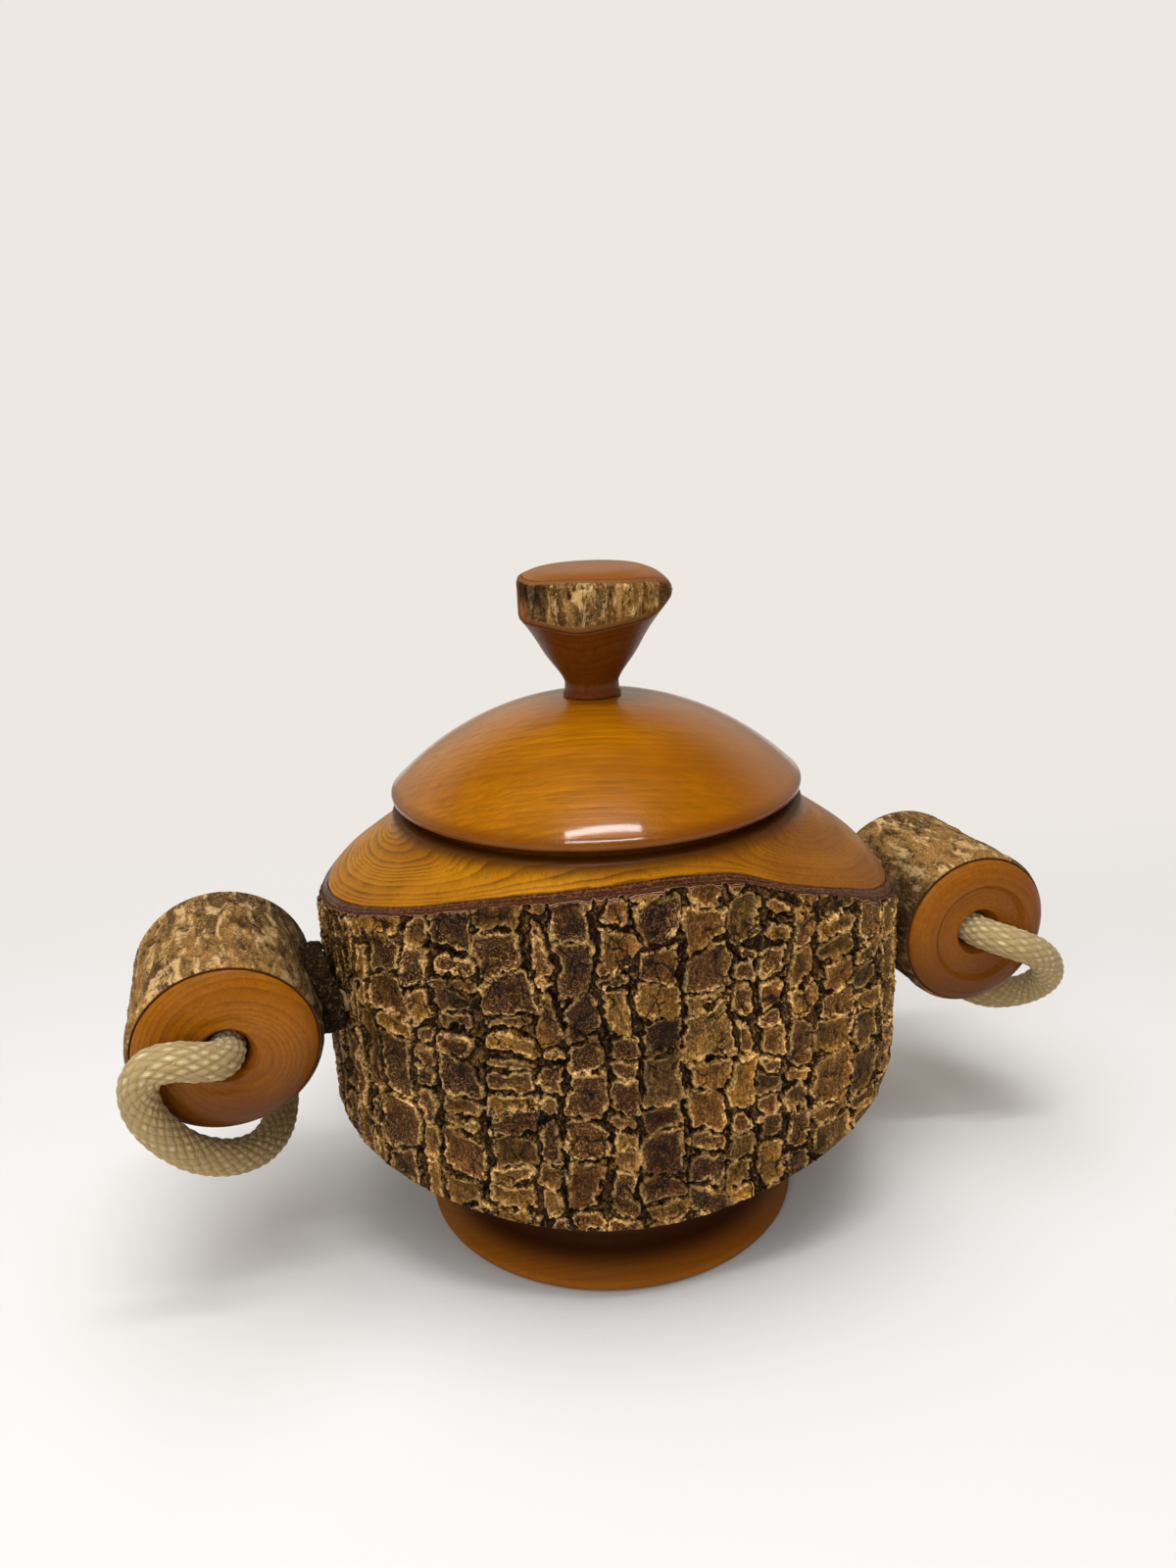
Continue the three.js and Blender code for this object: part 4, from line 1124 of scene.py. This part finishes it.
class PlateField:
    """Columns of bark plates round the log, each plate with its own size, height and kind."""

    def __init__(self, length, width, height):
        random = np.random.default_rng(41)
        count = int(round(length / width))
        steps = 0.55 + 0.85 * random.random(count)
        middles = (np.cumsum(steps) - steps / 2) * length / steps.sum()
        edge, _ = LOG.at(middles)
        flank = eased(np.abs(edge[:, 0]) / np.hypot(edge[:, 0], edge[:, 1]), 0.84, 0.97)
        steps = steps * (1 - 0.42 * flank)
        self.lines = np.concatenate([[0], np.cumsum(steps)]) * length / steps.sum()
        self.columns = []
        for share in flank:
            tall = height * (0.42 + 1.2 * random.random(40) ** 1.2) * (1 + 1.3 * share)
            ends = -6 + np.concatenate([[0], np.cumsum(tall)])
            size = len(ends)
            self.columns.append(dict(
                ends=ends, high=random.random(size), hue=random.random(size),
                tone=random.random(size), gap_x=random.random(size) ** 2,
                gap_z=random.random(size) ** 2, lean=random.normal(0, 0.13, size),
                round=1.0 + 2.2 * random.random(size), shift=random.normal(0, 0.6, size)))

    def plates(self, u, z):
        """For points on the bark: distance inside the plate, and its own random numbers."""
        column = np.clip(np.searchsorted(self.lines, u, side="right") - 1, 0,
                         len(self.lines) - 2)
        names = ("high", "hue", "tone")
        out = {n: np.zeros_like(u) for n in (*names, "inside", "across")}
        for c in np.unique(column):
            pick = column == c
            data = self.columns[c]
            left, right = self.lines[c], self.lines[c + 1]
            x, y = u[pick] - left, z[pick]
            wide = right - left
            lean = np.interp(y, data["ends"], data["lean"])
            y = y + lean * (x - wide / 2) * 1.6
            row = np.clip(np.searchsorted(data["ends"], y, side="right") - 1, 0,
                          len(data["ends"]) - 2)
            gap_x = 0.1 + 1.3 * data["gap_x"][row]
            gap_z = 0.05 + 1.1 * data["gap_z"][row]
            shift = data["shift"][row]
            dx = np.minimum(x - np.maximum(shift, 0), wide - x + np.minimum(shift, 0)) - gap_x
            dy = np.minimum(y - data["ends"][row], data["ends"][row + 1] - y) - gap_z
            corner = data["round"][row]
            near = (dx < corner) & (dy < corner)
            inside = np.where(
                near, corner - np.hypot(corner - np.minimum(dx, corner),
                                        corner - np.minimum(dy, corner)), np.minimum(dx, dy))
            out["inside"][pick] = inside
            out["across"][pick] = x / wide
            for n in names:
                out[n][pick] = data[n][row]
        return out


def bark_relief(u, z, field, deep):
    """Depth of the bark below its highest ridges in millimetres, and the marks for its colour."""
    warp_u = u + 2.6 * drift(u / 17, z / 15, 21, 2) + 1.3 * drift(u / 5.3, z / 5.6, 22, 2)
    warp_z = z + 3.0 * drift(u / 13, z / 16, 23, 2) + 1.4 * drift(u / 5.1, z / 4.9, 24, 2)
    warp_u = np.clip(warp_u, 0.01, field.lines[-1] - 0.01)
    p = field.plates(warp_u, warp_z)
    rough = drift(u / 1.3, z / 1.3, 25, 3)
    coarse = drift(u / 3.2, z / 3.6, 26, 2)
    broken = eased(drift(u / 19, z / 24, 28, 2), 0.12, 0.5)
    inside = p["inside"] + 0.9 * rough + 1.3 * coarse - 0.6 * broken
    raised = eased(inside, -0.25, 0.55)
    moss = eased(drift(u / 2.6, z / 3.1, 27, 3), -0.45, 0.4)
    floor = deep * (0.82 - 0.5 * moss - 0.22 * rough)
    crack = eased(0.45 - np.abs(inside + 0.3), 0, 0.3) * eased(
        drift(u / 6.1, z / 7.3, 29, 2), -0.45, 0.0)
    floor = floor + (0.98 * deep - floor) * crack
    sunk = 0.1 + 1.5 * p["high"] ** 1.5 + 0.5 * broken
    sheets = np.floor(inside / SHEET + p["tone"]) * (0.18 + 0.3 * p["hue"])
    bowl = np.clip(sheets, 0, 1.3) * eased(inside, 0.6, 1.2)
    face = sunk + bowl - 0.6 * rough - 0.55 * coarse
    face += 0.35 * (2 * p["across"] - 1) ** 2
    depth = np.clip(floor + (face - floor) * raised, 0.0, deep)
    relief = 1 - depth / deep
    edge = np.clip((inside + EDGE_OUTSIDE) / EDGE_SPAN, 0, 1)
    marks = np.stack([relief, edge, p["tone"], p["hue"]], -1)
    return depth, marks


class PotBark(bpy.types.Operator):
    """The rough bark, as a front and a rear shell that meet behind the handles"""
    bl_idname = "pot.bark"
    bl_label = "Rough bark"

    def execute(self, context):
        sizes = context.scene.pot_sizes
        material = rough_bark(context.scene.pot_colours)
        field = PlateField(LOG.length, sizes.plate_width / MM, sizes.plate_height / MM)
        behind = self.distance_at(180.0)
        for name, first, last in (("pot_bark_rear", 0.0, behind),
                                  ("pot_bark_front", behind, LOG.length)):
            self.half(name, np.linspace(first, last, BARK_COLUMNS), field,
                      sizes.furrow_depth / MM, material)
        return {"FINISHED"}

    def distance_at(self, bearing):
        """How far along the log's edge a bearing in degrees lies."""
        angles = np.degrees(np.unwrap(np.arctan2(LOG.line[:, 1], LOG.line[:, 0])))
        return float(np.interp(bearing, angles, LOG.walked))

    def half(self, name, along, field, deep, material):
        """One shell: the cut along the shoulder, the plates, the cut below, and the inside."""
        edge, outward = LOG.at(along)

        def radius(offset):
            return np.hypot(*(edge + outward * offset[:, None]).T)

        near = radius(np.full_like(along, BARK_FROM))
        top, low = shoulder_height(near), underside_height(near)
        relief_top, _ = bark_relief(along, top - 1.2, field, deep)
        relief_low, _ = bark_relief(along, low + 1.2, field, deep)
        out_top = np.clip(BARK_TO - relief_top, BARK_FROM + 0.5, BARK_TO)
        out_low = np.clip(BARK_TO - relief_low, BARK_FROM + 0.5, BARK_TO)
        high_edge = shoulder_height(radius(out_top))
        low_edge = underside_height(radius(out_low))
        offsets, heights, marks, cuts = [], [], [], []
        blank = np.full((len(along), 4), 0.5)

        def add(offset, height, mark, cut):
            offsets.append(offset)
            heights.append(height)
            marks.append(mark)
            cuts.append(np.broadcast_to(cut, along.shape))

        for t in np.linspace(0, 1, 8)[:-1]:
            s = BARK_FROM + t * (out_top - BARK_FROM)
            rough = 0.22 * drift(along / 1.4, s * 2.5, 31, 2) - 0.2
            add(s, shoulder_height(radius(s)) + rough * eased(t, 0, 0.3), blank, 0.15 + 0.85 * t)
        for t in np.linspace(0, 1, BARK_ROWS):
            z = high_edge + t * (low_edge - high_edge)
            depth, mark = bark_relief(along, z, field, deep)
            allowed = lathe_reach(z) - np.hypot(edge[:, 0], edge[:, 1])
            s = np.minimum(BARK_TO - depth, np.maximum(allowed, 1.3))
            if t == 0:
                s = out_top
            elif t == 1:
                s = out_low
            add(s, z, mark, 0.0)
        for t in np.linspace(1, 0, 5)[1:]:
            s = BARK_FROM + t * (out_low - BARK_FROM)
            add(s, underside_height(radius(s)), blank, 0.15 + 0.85 * t)
        inner = np.full_like(along, BARK_INSIDE)
        add(inner, low + 5, blank, 0.0)
        add(inner, top - 5.5, blank, 0.0)
        offset = np.stack(offsets, 1)
        grid = np.concatenate([edge[:, None, :] + outward[:, None, :] * offset[..., None],
                               np.stack(heights, 1)[..., None]], -1)
        piece = shell(name, grid, {"plates": np.stack(marks, 1), "cut": np.stack(cuts, 1)})
        finish_piece(piece, material, "pot", ["pot_outer_bark"])


def dome_height(radius):
    """Height of the lid's dome, which is part of a sphere."""
    chord = LID_RADIUS - 1
    dome = (chord * chord + LID_RISE * LID_RISE) / (2 * LID_RISE)
    return LID_BOTTOM + LID_EDGE + LID_RISE - dome + np.sqrt(dome * dome - radius * radius)


class PotLid(bpy.types.Operator):
    """The domed lid with its spigot"""
    bl_idname = "pot.lid"
    bl_label = "Lid"

    def execute(self, context):
        colours = context.scene.pot_colours
        hollow = SPIGOT_RADIUS - SPIGOT_WALL
        under, ceiling = LID_BOTTOM - SPIGOT_DEPTH, LID_BOTTOM + LID_CEILING
        seat = float(dome_height(DOME_END))
        profile = [
            (0, ceiling),
            *flowing([(12, ceiling), *beside(hollow, ceiling, (-14, -0.5), (-5, -4), (-0.6, -10),
                                             (0, -14))], 16),
            *beside(hollow, under, (0, 4), (0, 1), (0.3, 0.3), (1, 0)),
            *beside(SPIGOT_RADIUS, under, (-4, 0), (-1, 0), (-0.3, 0.3), (0, 1), (0, 6)),
            *beside(SPIGOT_RADIUS, LID_BOTTOM, (0, -0.4), (0.4, 0)),
            (60, LID_BOTTOM), (66, LID_BOTTOM),
            *beside(LID_RADIUS, LID_BOTTOM, (-1.6, 0), (-0.8, 0.25), (-0.2, 0.9), (0, 1.8),
                    (-0.05, 2.6), (-0.4, LID_EDGE - 0.45))]
        dome = np.concatenate([np.linspace(LID_RADIUS - 1.05, 50, 141)[:-1],
                               np.linspace(50, DOME_END, 80)])
        profile += [*zip(dome, dome_height(dome)), (6.5, seat), (0, seat)]
        profile = np.array(profile)
        # Fine turning ridges on the dome.
        ridge = 0.0011 * (1 + drift(profile[:, 0] / 0.33, 0 * profile[:, 0], 81))
        profile[:, 1] -= ridge * (profile[:, 1] > LID_BOTTOM + 3)
        angle = circle(LID_COLUMNS)
        grid = turned([(r + 0 * angle, z + 0 * angle) for r, z in profile], angle)
        # The lid was cut from a plank whose growth rings lie aslant.
        plank = 0.12 * grid[..., 0] + 0.4 * grid[..., 1] + 0.7 * grid[..., 2]
        piece = spun("pot_lid", grid, poles=True, marks={"depth": plank}, crease=38)
        # The tint is painted shade on the side and underside of the lid's rim.
        material = varnished_wood(
            "Varnished lid wood", tuple(colours.amber), (0.26, 0.07, 0.001),
            (0.17, 0.042, 0.001), 2.3, (0.05, 1.1, 0.6), (0, 0, HANDLE_TURN), waver=3.0,
            rings=0.6, roughness=0.15, coat=0.40, gloss=0.075, side=(-0.03, 0.06, 0.8),
            worn=0.01, lathe=1.3, grain_share=0.8, specular=0.14, uneven=0.22,
            tints_and_painted_shade=[(0.1646, 0.1672, 0.7, 0.0, (0.13, 0.034, 0.002))])
        finish_piece(piece, material, "lid", ["lid"])
        return {"FINISHED"}


def branch_reach(angle):
    """Outline of the knob's branch."""
    return (KNOB_BRANCH + 1.9 * np.cos(angle + 0.3) + 1.5 * np.cos(2 * angle)
            + 0.4 * np.cos(5 * angle + 1))


class PotKnob(bpy.types.Operator):
    """The knob, a branch turned to a cone, and the bark left on its widest part"""
    bl_idname = "pot.knob"
    bl_label = "Knob"

    def execute(self, context):
        colours = context.scene.pot_colours
        base = float(dome_height(DOME_END)) + 0.3
        top = base + KNOB_HEIGHT
        tip = top - KNOB_CROWN
        widest = KNOB_BRANCH + KNOB_FLARE
        cone = flowing(beside(STEM_RADIUS, base, (0, 5), (1.6, 8), (6.2, 14.5))
                       + beside(widest, tip, (-8, -12), (-1.6, -3.4), (-0.3, -1.4), (0, 0)), 80)
        crown = flowing(shares((widest, tip), (0, top),
                               [(0, 0), (0.03, 0.25), (0.12, 0.54), (0.25, 0.77), (0.47, 0.94),
                                (1, 1)]), 80)

        def cone_height(radius):
            return np.interp(radius, cone[:, 0], cone[:, 1])

        def crown_height(radius):
            return np.interp(radius, crown[::-1, 0], crown[::-1, 1])

        angle = circle(KNOB_COLUMNS)
        wood = branch_reach(angle) - KNOB_BARK - 0.3
        rows = [(r + 0 * wood, z + 0 * wood) for r, z in (
            (0, base), (5, base),
            *beside(STEM_RADIUS, base, (0.2, 0), (0.8, 0.25), (0.75, 0.9), (0.25, 1.5),
                    (0.05, 2.4), (0, 3.6)))]
        for t in np.linspace(0, 1, 34):
            radius = STEM_RADIUS + t * (wood - STEM_RADIUS)
            rows.append((radius, np.where(t == 0, base + 5, cone_height(radius))))
        low, high = cone_height(wood), crown_height(wood)
        rows += [(wood, low + t * (high - low)) for t in (0.05, 0.5, 0.95)]
        for t in np.linspace(0, 1, 26):
            radius = wood * (1 - t)
            rows.append((radius, crown_height(radius)))
        depth = wood[:, None] - np.stack([r for r, _ in rows], 1)
        piece = spun("knob_wood", turned(rows, angle), poles=True, marks={"depth": depth},
                     crease=38)
        # Painted shade: the cone's colours are darker than the crown's tint, for the shade on the
        # cone's downward face.
        material = varnished_wood(
            "Knob wood", (0.15, 0.038, 0.002), scaled(colours.red, 0.6), (0.05, 0.011, 0.001),
            1.6, (1, 1, 0.1), waver=1.2, rings=0.6, roughness=0.34, coat=0.2, gloss=0.12,
            tints_and_painted_shade=[(0.229, 0.236, 0.0, 0.75, (0.25, 0.082, 0.010))])
        finish_piece(piece, material, "lid", ["knob"])
        self.bark(colours, cone_height, crown_height)
        return {"FINISHED"}

    def bark(self, colours, cone_height, crown_height):
        """The ring of bark: the cut below, the skin, and the cut on the crown."""
        angle = circle(KNOB_BARK_COLUMNS)
        bearing = np.degrees(angle)
        outer = branch_reach(angle)
        inner = outer - KNOB_BARK
        around = angle * KNOB_BRANCH

        def relief(z):
            """How deep the bark lies below its ridges."""
            ridge = drift(around / 1.5, z / 8, 51, 3)
            broad = drift(around / 7, z / 9, 52, 2)
            pits = eased(drift(around / 1.1, z / 2.2, 53, 2), 0.25, 0.7)
            return np.clip(0.45 - 0.6 * ridge - 0.3 * broad + 0.5 * pits, 0, KNOB_PITS)

        def near_bearing(middle, reach):
            """1 near a bearing in degrees, easing to 0 at that reach from it."""
            return eased(reach - np.abs((bearing - middle + 180) % 360 - 180), 0, 16)

        low, high = cone_height(outer), crown_height(outer)
        rows, marks = [], []

        def add(radius, z, depth, cut):
            stain = eased(drift(around / 9, z / 6, 54, 2), 0.0, 0.5)
            burnt = near_bearing(200, 26) * eased(
                z + 2.5 * drift(around / 1.6, z / 9, 55, 2), high - 8, high - 4)
            rows.append((radius, z))
            marks.append(np.stack([1 - depth / KNOB_PITS, np.clip(0.15 * stain + burnt, 0, 1),
                                   cut + 0 * z, near_bearing(183, 24)], -1))

        for t in (0.0, 0.35, 0.7):
            radius = inner + t * (outer - inner)
            add(radius, cone_height(radius), 0.3 + 0 * radius, 1.0)
        first = relief(low + 0.5)
        last = relief(high - 0.5)
        for t in np.linspace(0, 1, KNOB_BARK_ROWS):
            z = low + t * (high - low)
            inwards = eased(t, 0, 0.04)
            depth = relief(z) * inwards + first * (1 - inwards)
            ease = 0.5 * (1 - eased(t, 0, 0.07)) + 0.5 * eased(t, 0.93, 1)
            add(outer - depth - ease * 0.4, z, depth, 0.0)
        for t in (0.7, 0.35, 0.0):
            radius = inner + t * (outer - last - inner)
            add(radius, crown_height(radius), 0.3 + 0 * radius, 1.0)
        piece = shell("knob_bark_ring", turned(rows, angle), {"skin": np.stack(marks, 1)},
                      ring=True)
        material = branch_skin("Knob bark", colours, (1, 1, 0.28), (0, 0, 0), (0.20, 0.085, 0.025))
        finish_piece(piece, material, "lid", ["knob_bark"])


class PotHandles(bpy.types.Operator):
    """Both branch logs with domed ends, and their bark"""
    bl_idname = "pot.handles"
    bl_label = "Handle logs"

    def execute(self, context):
        colours = context.scene.pot_colours
        # Painted shade: each log's wood is painted darker towards its underside by its tint.
        wood = {
            "left": varnished_wood(
                "Left log wood", (0.38, 0.13, 0.002), tuple(colours.red), (0.12, 0.034, 0.001),
                2.3, (1, 0.12, 1), waver=3.4, rings=0.8, roughness=0.38, coat=0.28, gloss=0.33,
                tints_and_painted_shade=[(0.070, 0.110, 0.85, 0.0, (0.075, 0.018, 0.001))]),
            "right": varnished_wood(
                "Right log wood", (0.31, 0.10, 0.005), tuple(colours.red),
                (0.11, 0.03, 0.001), 2.2, (1, 0.12, 1), waver=2.0, rings=0.5,
                roughness=0.45, coat=0.22, gloss=0.38,
                tints_and_painted_shade=[(0.060, 0.100, 0.85, 0.0, (0.075, 0.018, 0.001))])}
        skin = {
            "left": branch_skin("Left log bark", colours, (1, 0.32, 1),
                                (0, 0, math.radians(-28))),
            "right": branch_skin("Right log bark", colours, (0.9, 0.3, 0.9),
                                 (math.radians(24), 0, math.radians(22)))}
        for handle in (LEFT, RIGHT):
            side = handle["side"]
            self.log(handle, bore_centre(side), wood[side])
            self.bark(handle, bore_centre(side), skin[side])
        return {"FINISHED"}

    def face(self, handle, radius):
        """How far the domed and dished end stands out at a radius."""
        wide, dish = handle["half_width"], handle["dish_radius"]
        end = handle["half_length"] + handle["dome"]
        share = np.clip((radius - dish) / (wide - dish), 0, 1)
        domed = handle["half_length"] + handle["dome"] * np.sqrt(1 - share ** 2)
        sunk = np.interp(radius, [0, dish - 2, dish],
                         [end - handle["dish_depth"], end - 0.7 * handle["dish_depth"], end])
        return np.where(radius < dish, sunk, domed)

    def log(self, handle, centre, material):
        """A log's wood: its bore, dished and domed ends, and rings about its own heart."""
        side, wide = handle["side"], handle["half_width"] - BRANCH_BARK - 0.3
        face = handle["half_length"] + handle["dome"] - handle["dish_depth"]
        mouth = [(0, BORE_FLARE_DEPTH), (0.35, 0.4 * BORE_FLARE_DEPTH),
                 (0.65, 0.17 * BORE_FLARE_DEPTH), (0.85, 0.3)]
        bore = [(BORE_RADIUS, 0), (BORE_RADIUS, face - BORE_FLARE_DEPTH - 6)]
        bore += [(BORE_RADIUS + share * BORE_FLARE, face - depth) for share, depth in mouth]
        dish = handle["dish_radius"]
        start = BORE_RADIUS + BORE_FLARE
        radii = np.concatenate([np.linspace(start, dish - 2.2, 8),
                                np.linspace(dish - 2, dish, 5),
                                dish + (wide - dish) * np.linspace(0, 1, 34)[1:] ** 0.8])
        out = list(zip(radii, self.face(handle, radii)))
        edge = out[-1][1]
        half = bore[1:] + out + [(wide, edge - 1.5), (wide, edge * 0.5)]
        profile = np.array([(r, -y) for r, y in half[::-1]] + [bore[0]] + half)
        angle = circle(LOG_COLUMNS)
        oval = handle["half_height"] / handle["half_width"]
        swirl = 0.22 * np.sin(3 * angle + 0.8)[:, None] * eased(
            profile[None, :, 0], BORE_RADIUS + 2, dish) * (profile[None, :, 0] < dish + 6)
        reach = np.broadcast_to(profile[:, 0], (LOG_COLUMNS, len(profile)))
        depth_in = np.where(np.abs(profile[None, :, 1]) > handle["half_length"],
                            np.abs(swirl), 0)
        y = profile[None, :, 1] - np.sign(profile[None, :, 1]) * depth_in
        ovality = 1 + (oval - 1) * eased(reach, BORE_RADIUS + BORE_FLARE, wide)
        grid = np.stack([centre[0] + reach * np.cos(angle)[:, None],
                         centre[1] + y + 0 * reach,
                         centre[2] + reach * np.sin(angle)[:, None] * ovality], -1)
        # The heart of each branch lies a little off its middle.
        drop = 4.5 if side == "left" else 2.0
        rings = np.hypot(grid[..., 0] - centre[0] - drop,
                         (grid[..., 2] - centre[2] + 0.4 * drop) * 1.12)
        rings = rings + 1.3 * np.sin(2 * angle + 1.0)[:, None] * eased(reach, 8, 20)
        piece = spun(f"{side}_log_wood", grid, axis=(0, 1, 0), centre=tuple(centre),
                     marks={"depth": rings}, crease=32)
        finish_piece(piece, material, "pot", [f"{side}_handle_log"])

    def bark(self, handle, centre, material):
        """A log's bark: one cut end, the skin, and the other cut end."""
        wide, side = handle["half_width"], handle["side"]
        inner, half_length = wide - BRANCH_BARK, handle["half_length"]
        angle = circle(LOG_BARK_COLUMNS)
        around = angle * wide
        slant = 0.45 if side == "right" else -0.3

        def relief(y):
            """How deep the bark lies below its ridges."""
            u = around + slant * y
            ridge = drift(u / 2.6, y / 7.5, 61, 3)
            broad = drift(u / 9, y / 13, 62, 2)
            pits = eased(drift(u / 1.5, y / 2.4, 63, 3), 0.18, 0.6)
            return np.clip(0.45 - 0.7 * ridge - 0.35 * broad + 0.5 * pits, 0, LOG_PITS)

        rows, marks = [], []
        # The side towards the pot is darker.
        joint = eased(-handle["sign"] * np.cos(angle), 0.35, 0.95)

        def add(radius, y, depth, cut):
            rows.append((radius + 0 * angle, y + 0 * angle))
            marks.append(np.stack([1 - depth / LOG_PITS + 0 * angle, 0.9 * joint,
                                   cut + 0 * angle, 0 * angle], -1))

        def end_row(t, outwards):
            """A row of the cut bark on one end of the log."""
            r = inner + t * (wide - inner)
            add(r, outwards * self.face(handle, r), 0.3, float(t == 0))

        for t in (0.0, 0.4, 0.8):
            end_row(t, -1)
        for y in np.linspace(-half_length, half_length, LOG_BARK_ROWS):
            depth = relief(y)
            ends = eased(np.abs(y), half_length - 1.2, half_length)
            add(wide - depth * (1 - 0.7 * ends), y, depth, 0.0)
        for t in (0.8, 0.4, 0.0):
            end_row(t, 1)
        oval = handle["half_height"] / wide
        grid = np.stack([np.stack([centre[0] + r * np.cos(angle), centre[1] + y,
                                   centre[2] + oval * r * np.sin(angle)], -1)
                         for r, y in rows], 1)
        piece = shell(f"{side}_log_bark", grid, {"skin": np.stack(marks, 1)}, ring=True)
        finish_piece(piece, material, "pot", [f"{side}_handle_bark"])


class PotJoints(bpy.types.Operator):
    """The lumpy glue beds between logs and pot, and a finish for the hidden dowels"""
    bl_idname = "pot.joints"
    bl_label = "Glue beds and dowels"

    def execute(self, context):
        dust = dust_material()
        for side in ("left", "right"):
            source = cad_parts[f"{side}_glue_bed"]
            clear_selection()
            piece = source.copy()
            piece.data = source.data.copy()
            piece.parent = None
            for key in list(piece.keys()):
                del piece[key]
            piece.name = piece.data.name = f"{side}_glue"
            context.collection.objects.link(piece)
            piece.hide_render = piece.hide_viewport = False
            piece.matrix_world = Matrix.Identity(4)
            context.view_layer.objects.active = piece
            piece.select_set(True)
            bpy.ops.object.mode_set(mode="EDIT")
            bpy.ops.mesh.select_all(action="SELECT")
            bpy.ops.mesh.remove_doubles(threshold=MERGE_DISTANCE)
            bpy.ops.object.mode_set(mode="OBJECT")
            crumbs = piece.modifiers.new("Crumbs", "REMESH")
            crumbs.mode = "VOXEL"
            crumbs.voxel_size = GLUE_VOXEL
            bpy.ops.object.modifier_apply(modifier=crumbs.name)
            mesh = piece.data
            count = len(mesh.vertices)
            place, normal = np.zeros(count * 3, np.float32), np.zeros(count * 3, np.float32)
            mesh.vertices.foreach_get("co", place)
            mesh.vertices.foreach_get("normal", normal)
            place, normal = place.reshape(-1, 3), normal.reshape(-1, 3)
            x, y, z = (place / MM).T
            lump = (0.8 * drift((x + 0.6 * z) / 3.3, (y - 0.5 * z) / 3.0, 71, 2)
                    + 0.7 * drift((x - 0.5 * y) / 2.6, (z + 0.4 * y) / 2.9, 72, 2)
                    + 0.5 * drift((x + z) / 1.2, (y - z) / 1.1, 73, 2) - 0.2)
            place = place + normal * (1.1 * lump * MM)[:, None]
            mesh.vertices.foreach_set("co", place.astype(np.float32).ravel())
            mesh.update()
            bpy.ops.object.shade_smooth()
            finish_piece(piece, dust, "pot", [f"{side}_glue_bed"])
        peg = varnished_wood("Dowel wood", (0.50, 0.33, 0.16), (0.42, 0.26, 0.12),
                             (0.3, 0.18, 0.08), 1.2, (0.1, 1, 1), coat=0.0, roughness=0.7)
        for side in ("left", "right"):
            for place in ("front", "rear"):
                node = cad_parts[f"{side}_dowel_{place}"]
                node.data.materials.clear()
                node.data.materials.append(peg)
        return {"FINISHED"}


STEPS = (PotStage, PotRopes, PotWood, PotBand, PotBark, PotLid, PotKnob, PotHandles, PotJoints)


class PotPanel(bpy.types.Panel):
    """Lists the steps and the values they use"""
    bl_idname = "VIEW3D_PT_pot"
    bl_label = "Lidded bark pot"
    bl_space_type = "VIEW_3D"
    bl_region_type = "UI"
    bl_category = "Pot"

    def draw(self, context):
        for values in (context.scene.pot_sizes, context.scene.pot_colours):
            for name in values.__annotations__:
                self.layout.prop(values, name)
        for step in STEPS:
            self.layout.operator(step.bl_idname)


CLASSES = (PotSizes, PotColours, *STEPS, PotPanel)


def register():
    """Adds the operators, the panel and both sets of values."""
    for item in CLASSES:
        bpy.utils.register_class(item)
    bpy.types.Scene.pot_sizes = bpy.props.PointerProperty(type=PotSizes)
    bpy.types.Scene.pot_colours = bpy.props.PointerProperty(type=PotColours)


def unregister():
    """Takes away what register adds."""
    del bpy.types.Scene.pot_colours
    del bpy.types.Scene.pot_sizes
    for item in reversed(CLASSES):
        bpy.utils.unregister_class(item)


def main():
    """Runs every step."""
    register()
    for step in STEPS:
        family, name = step.bl_idname.split(".")
        getattr(getattr(bpy.ops, family), name)()


if __name__ == "__main__":
    main()
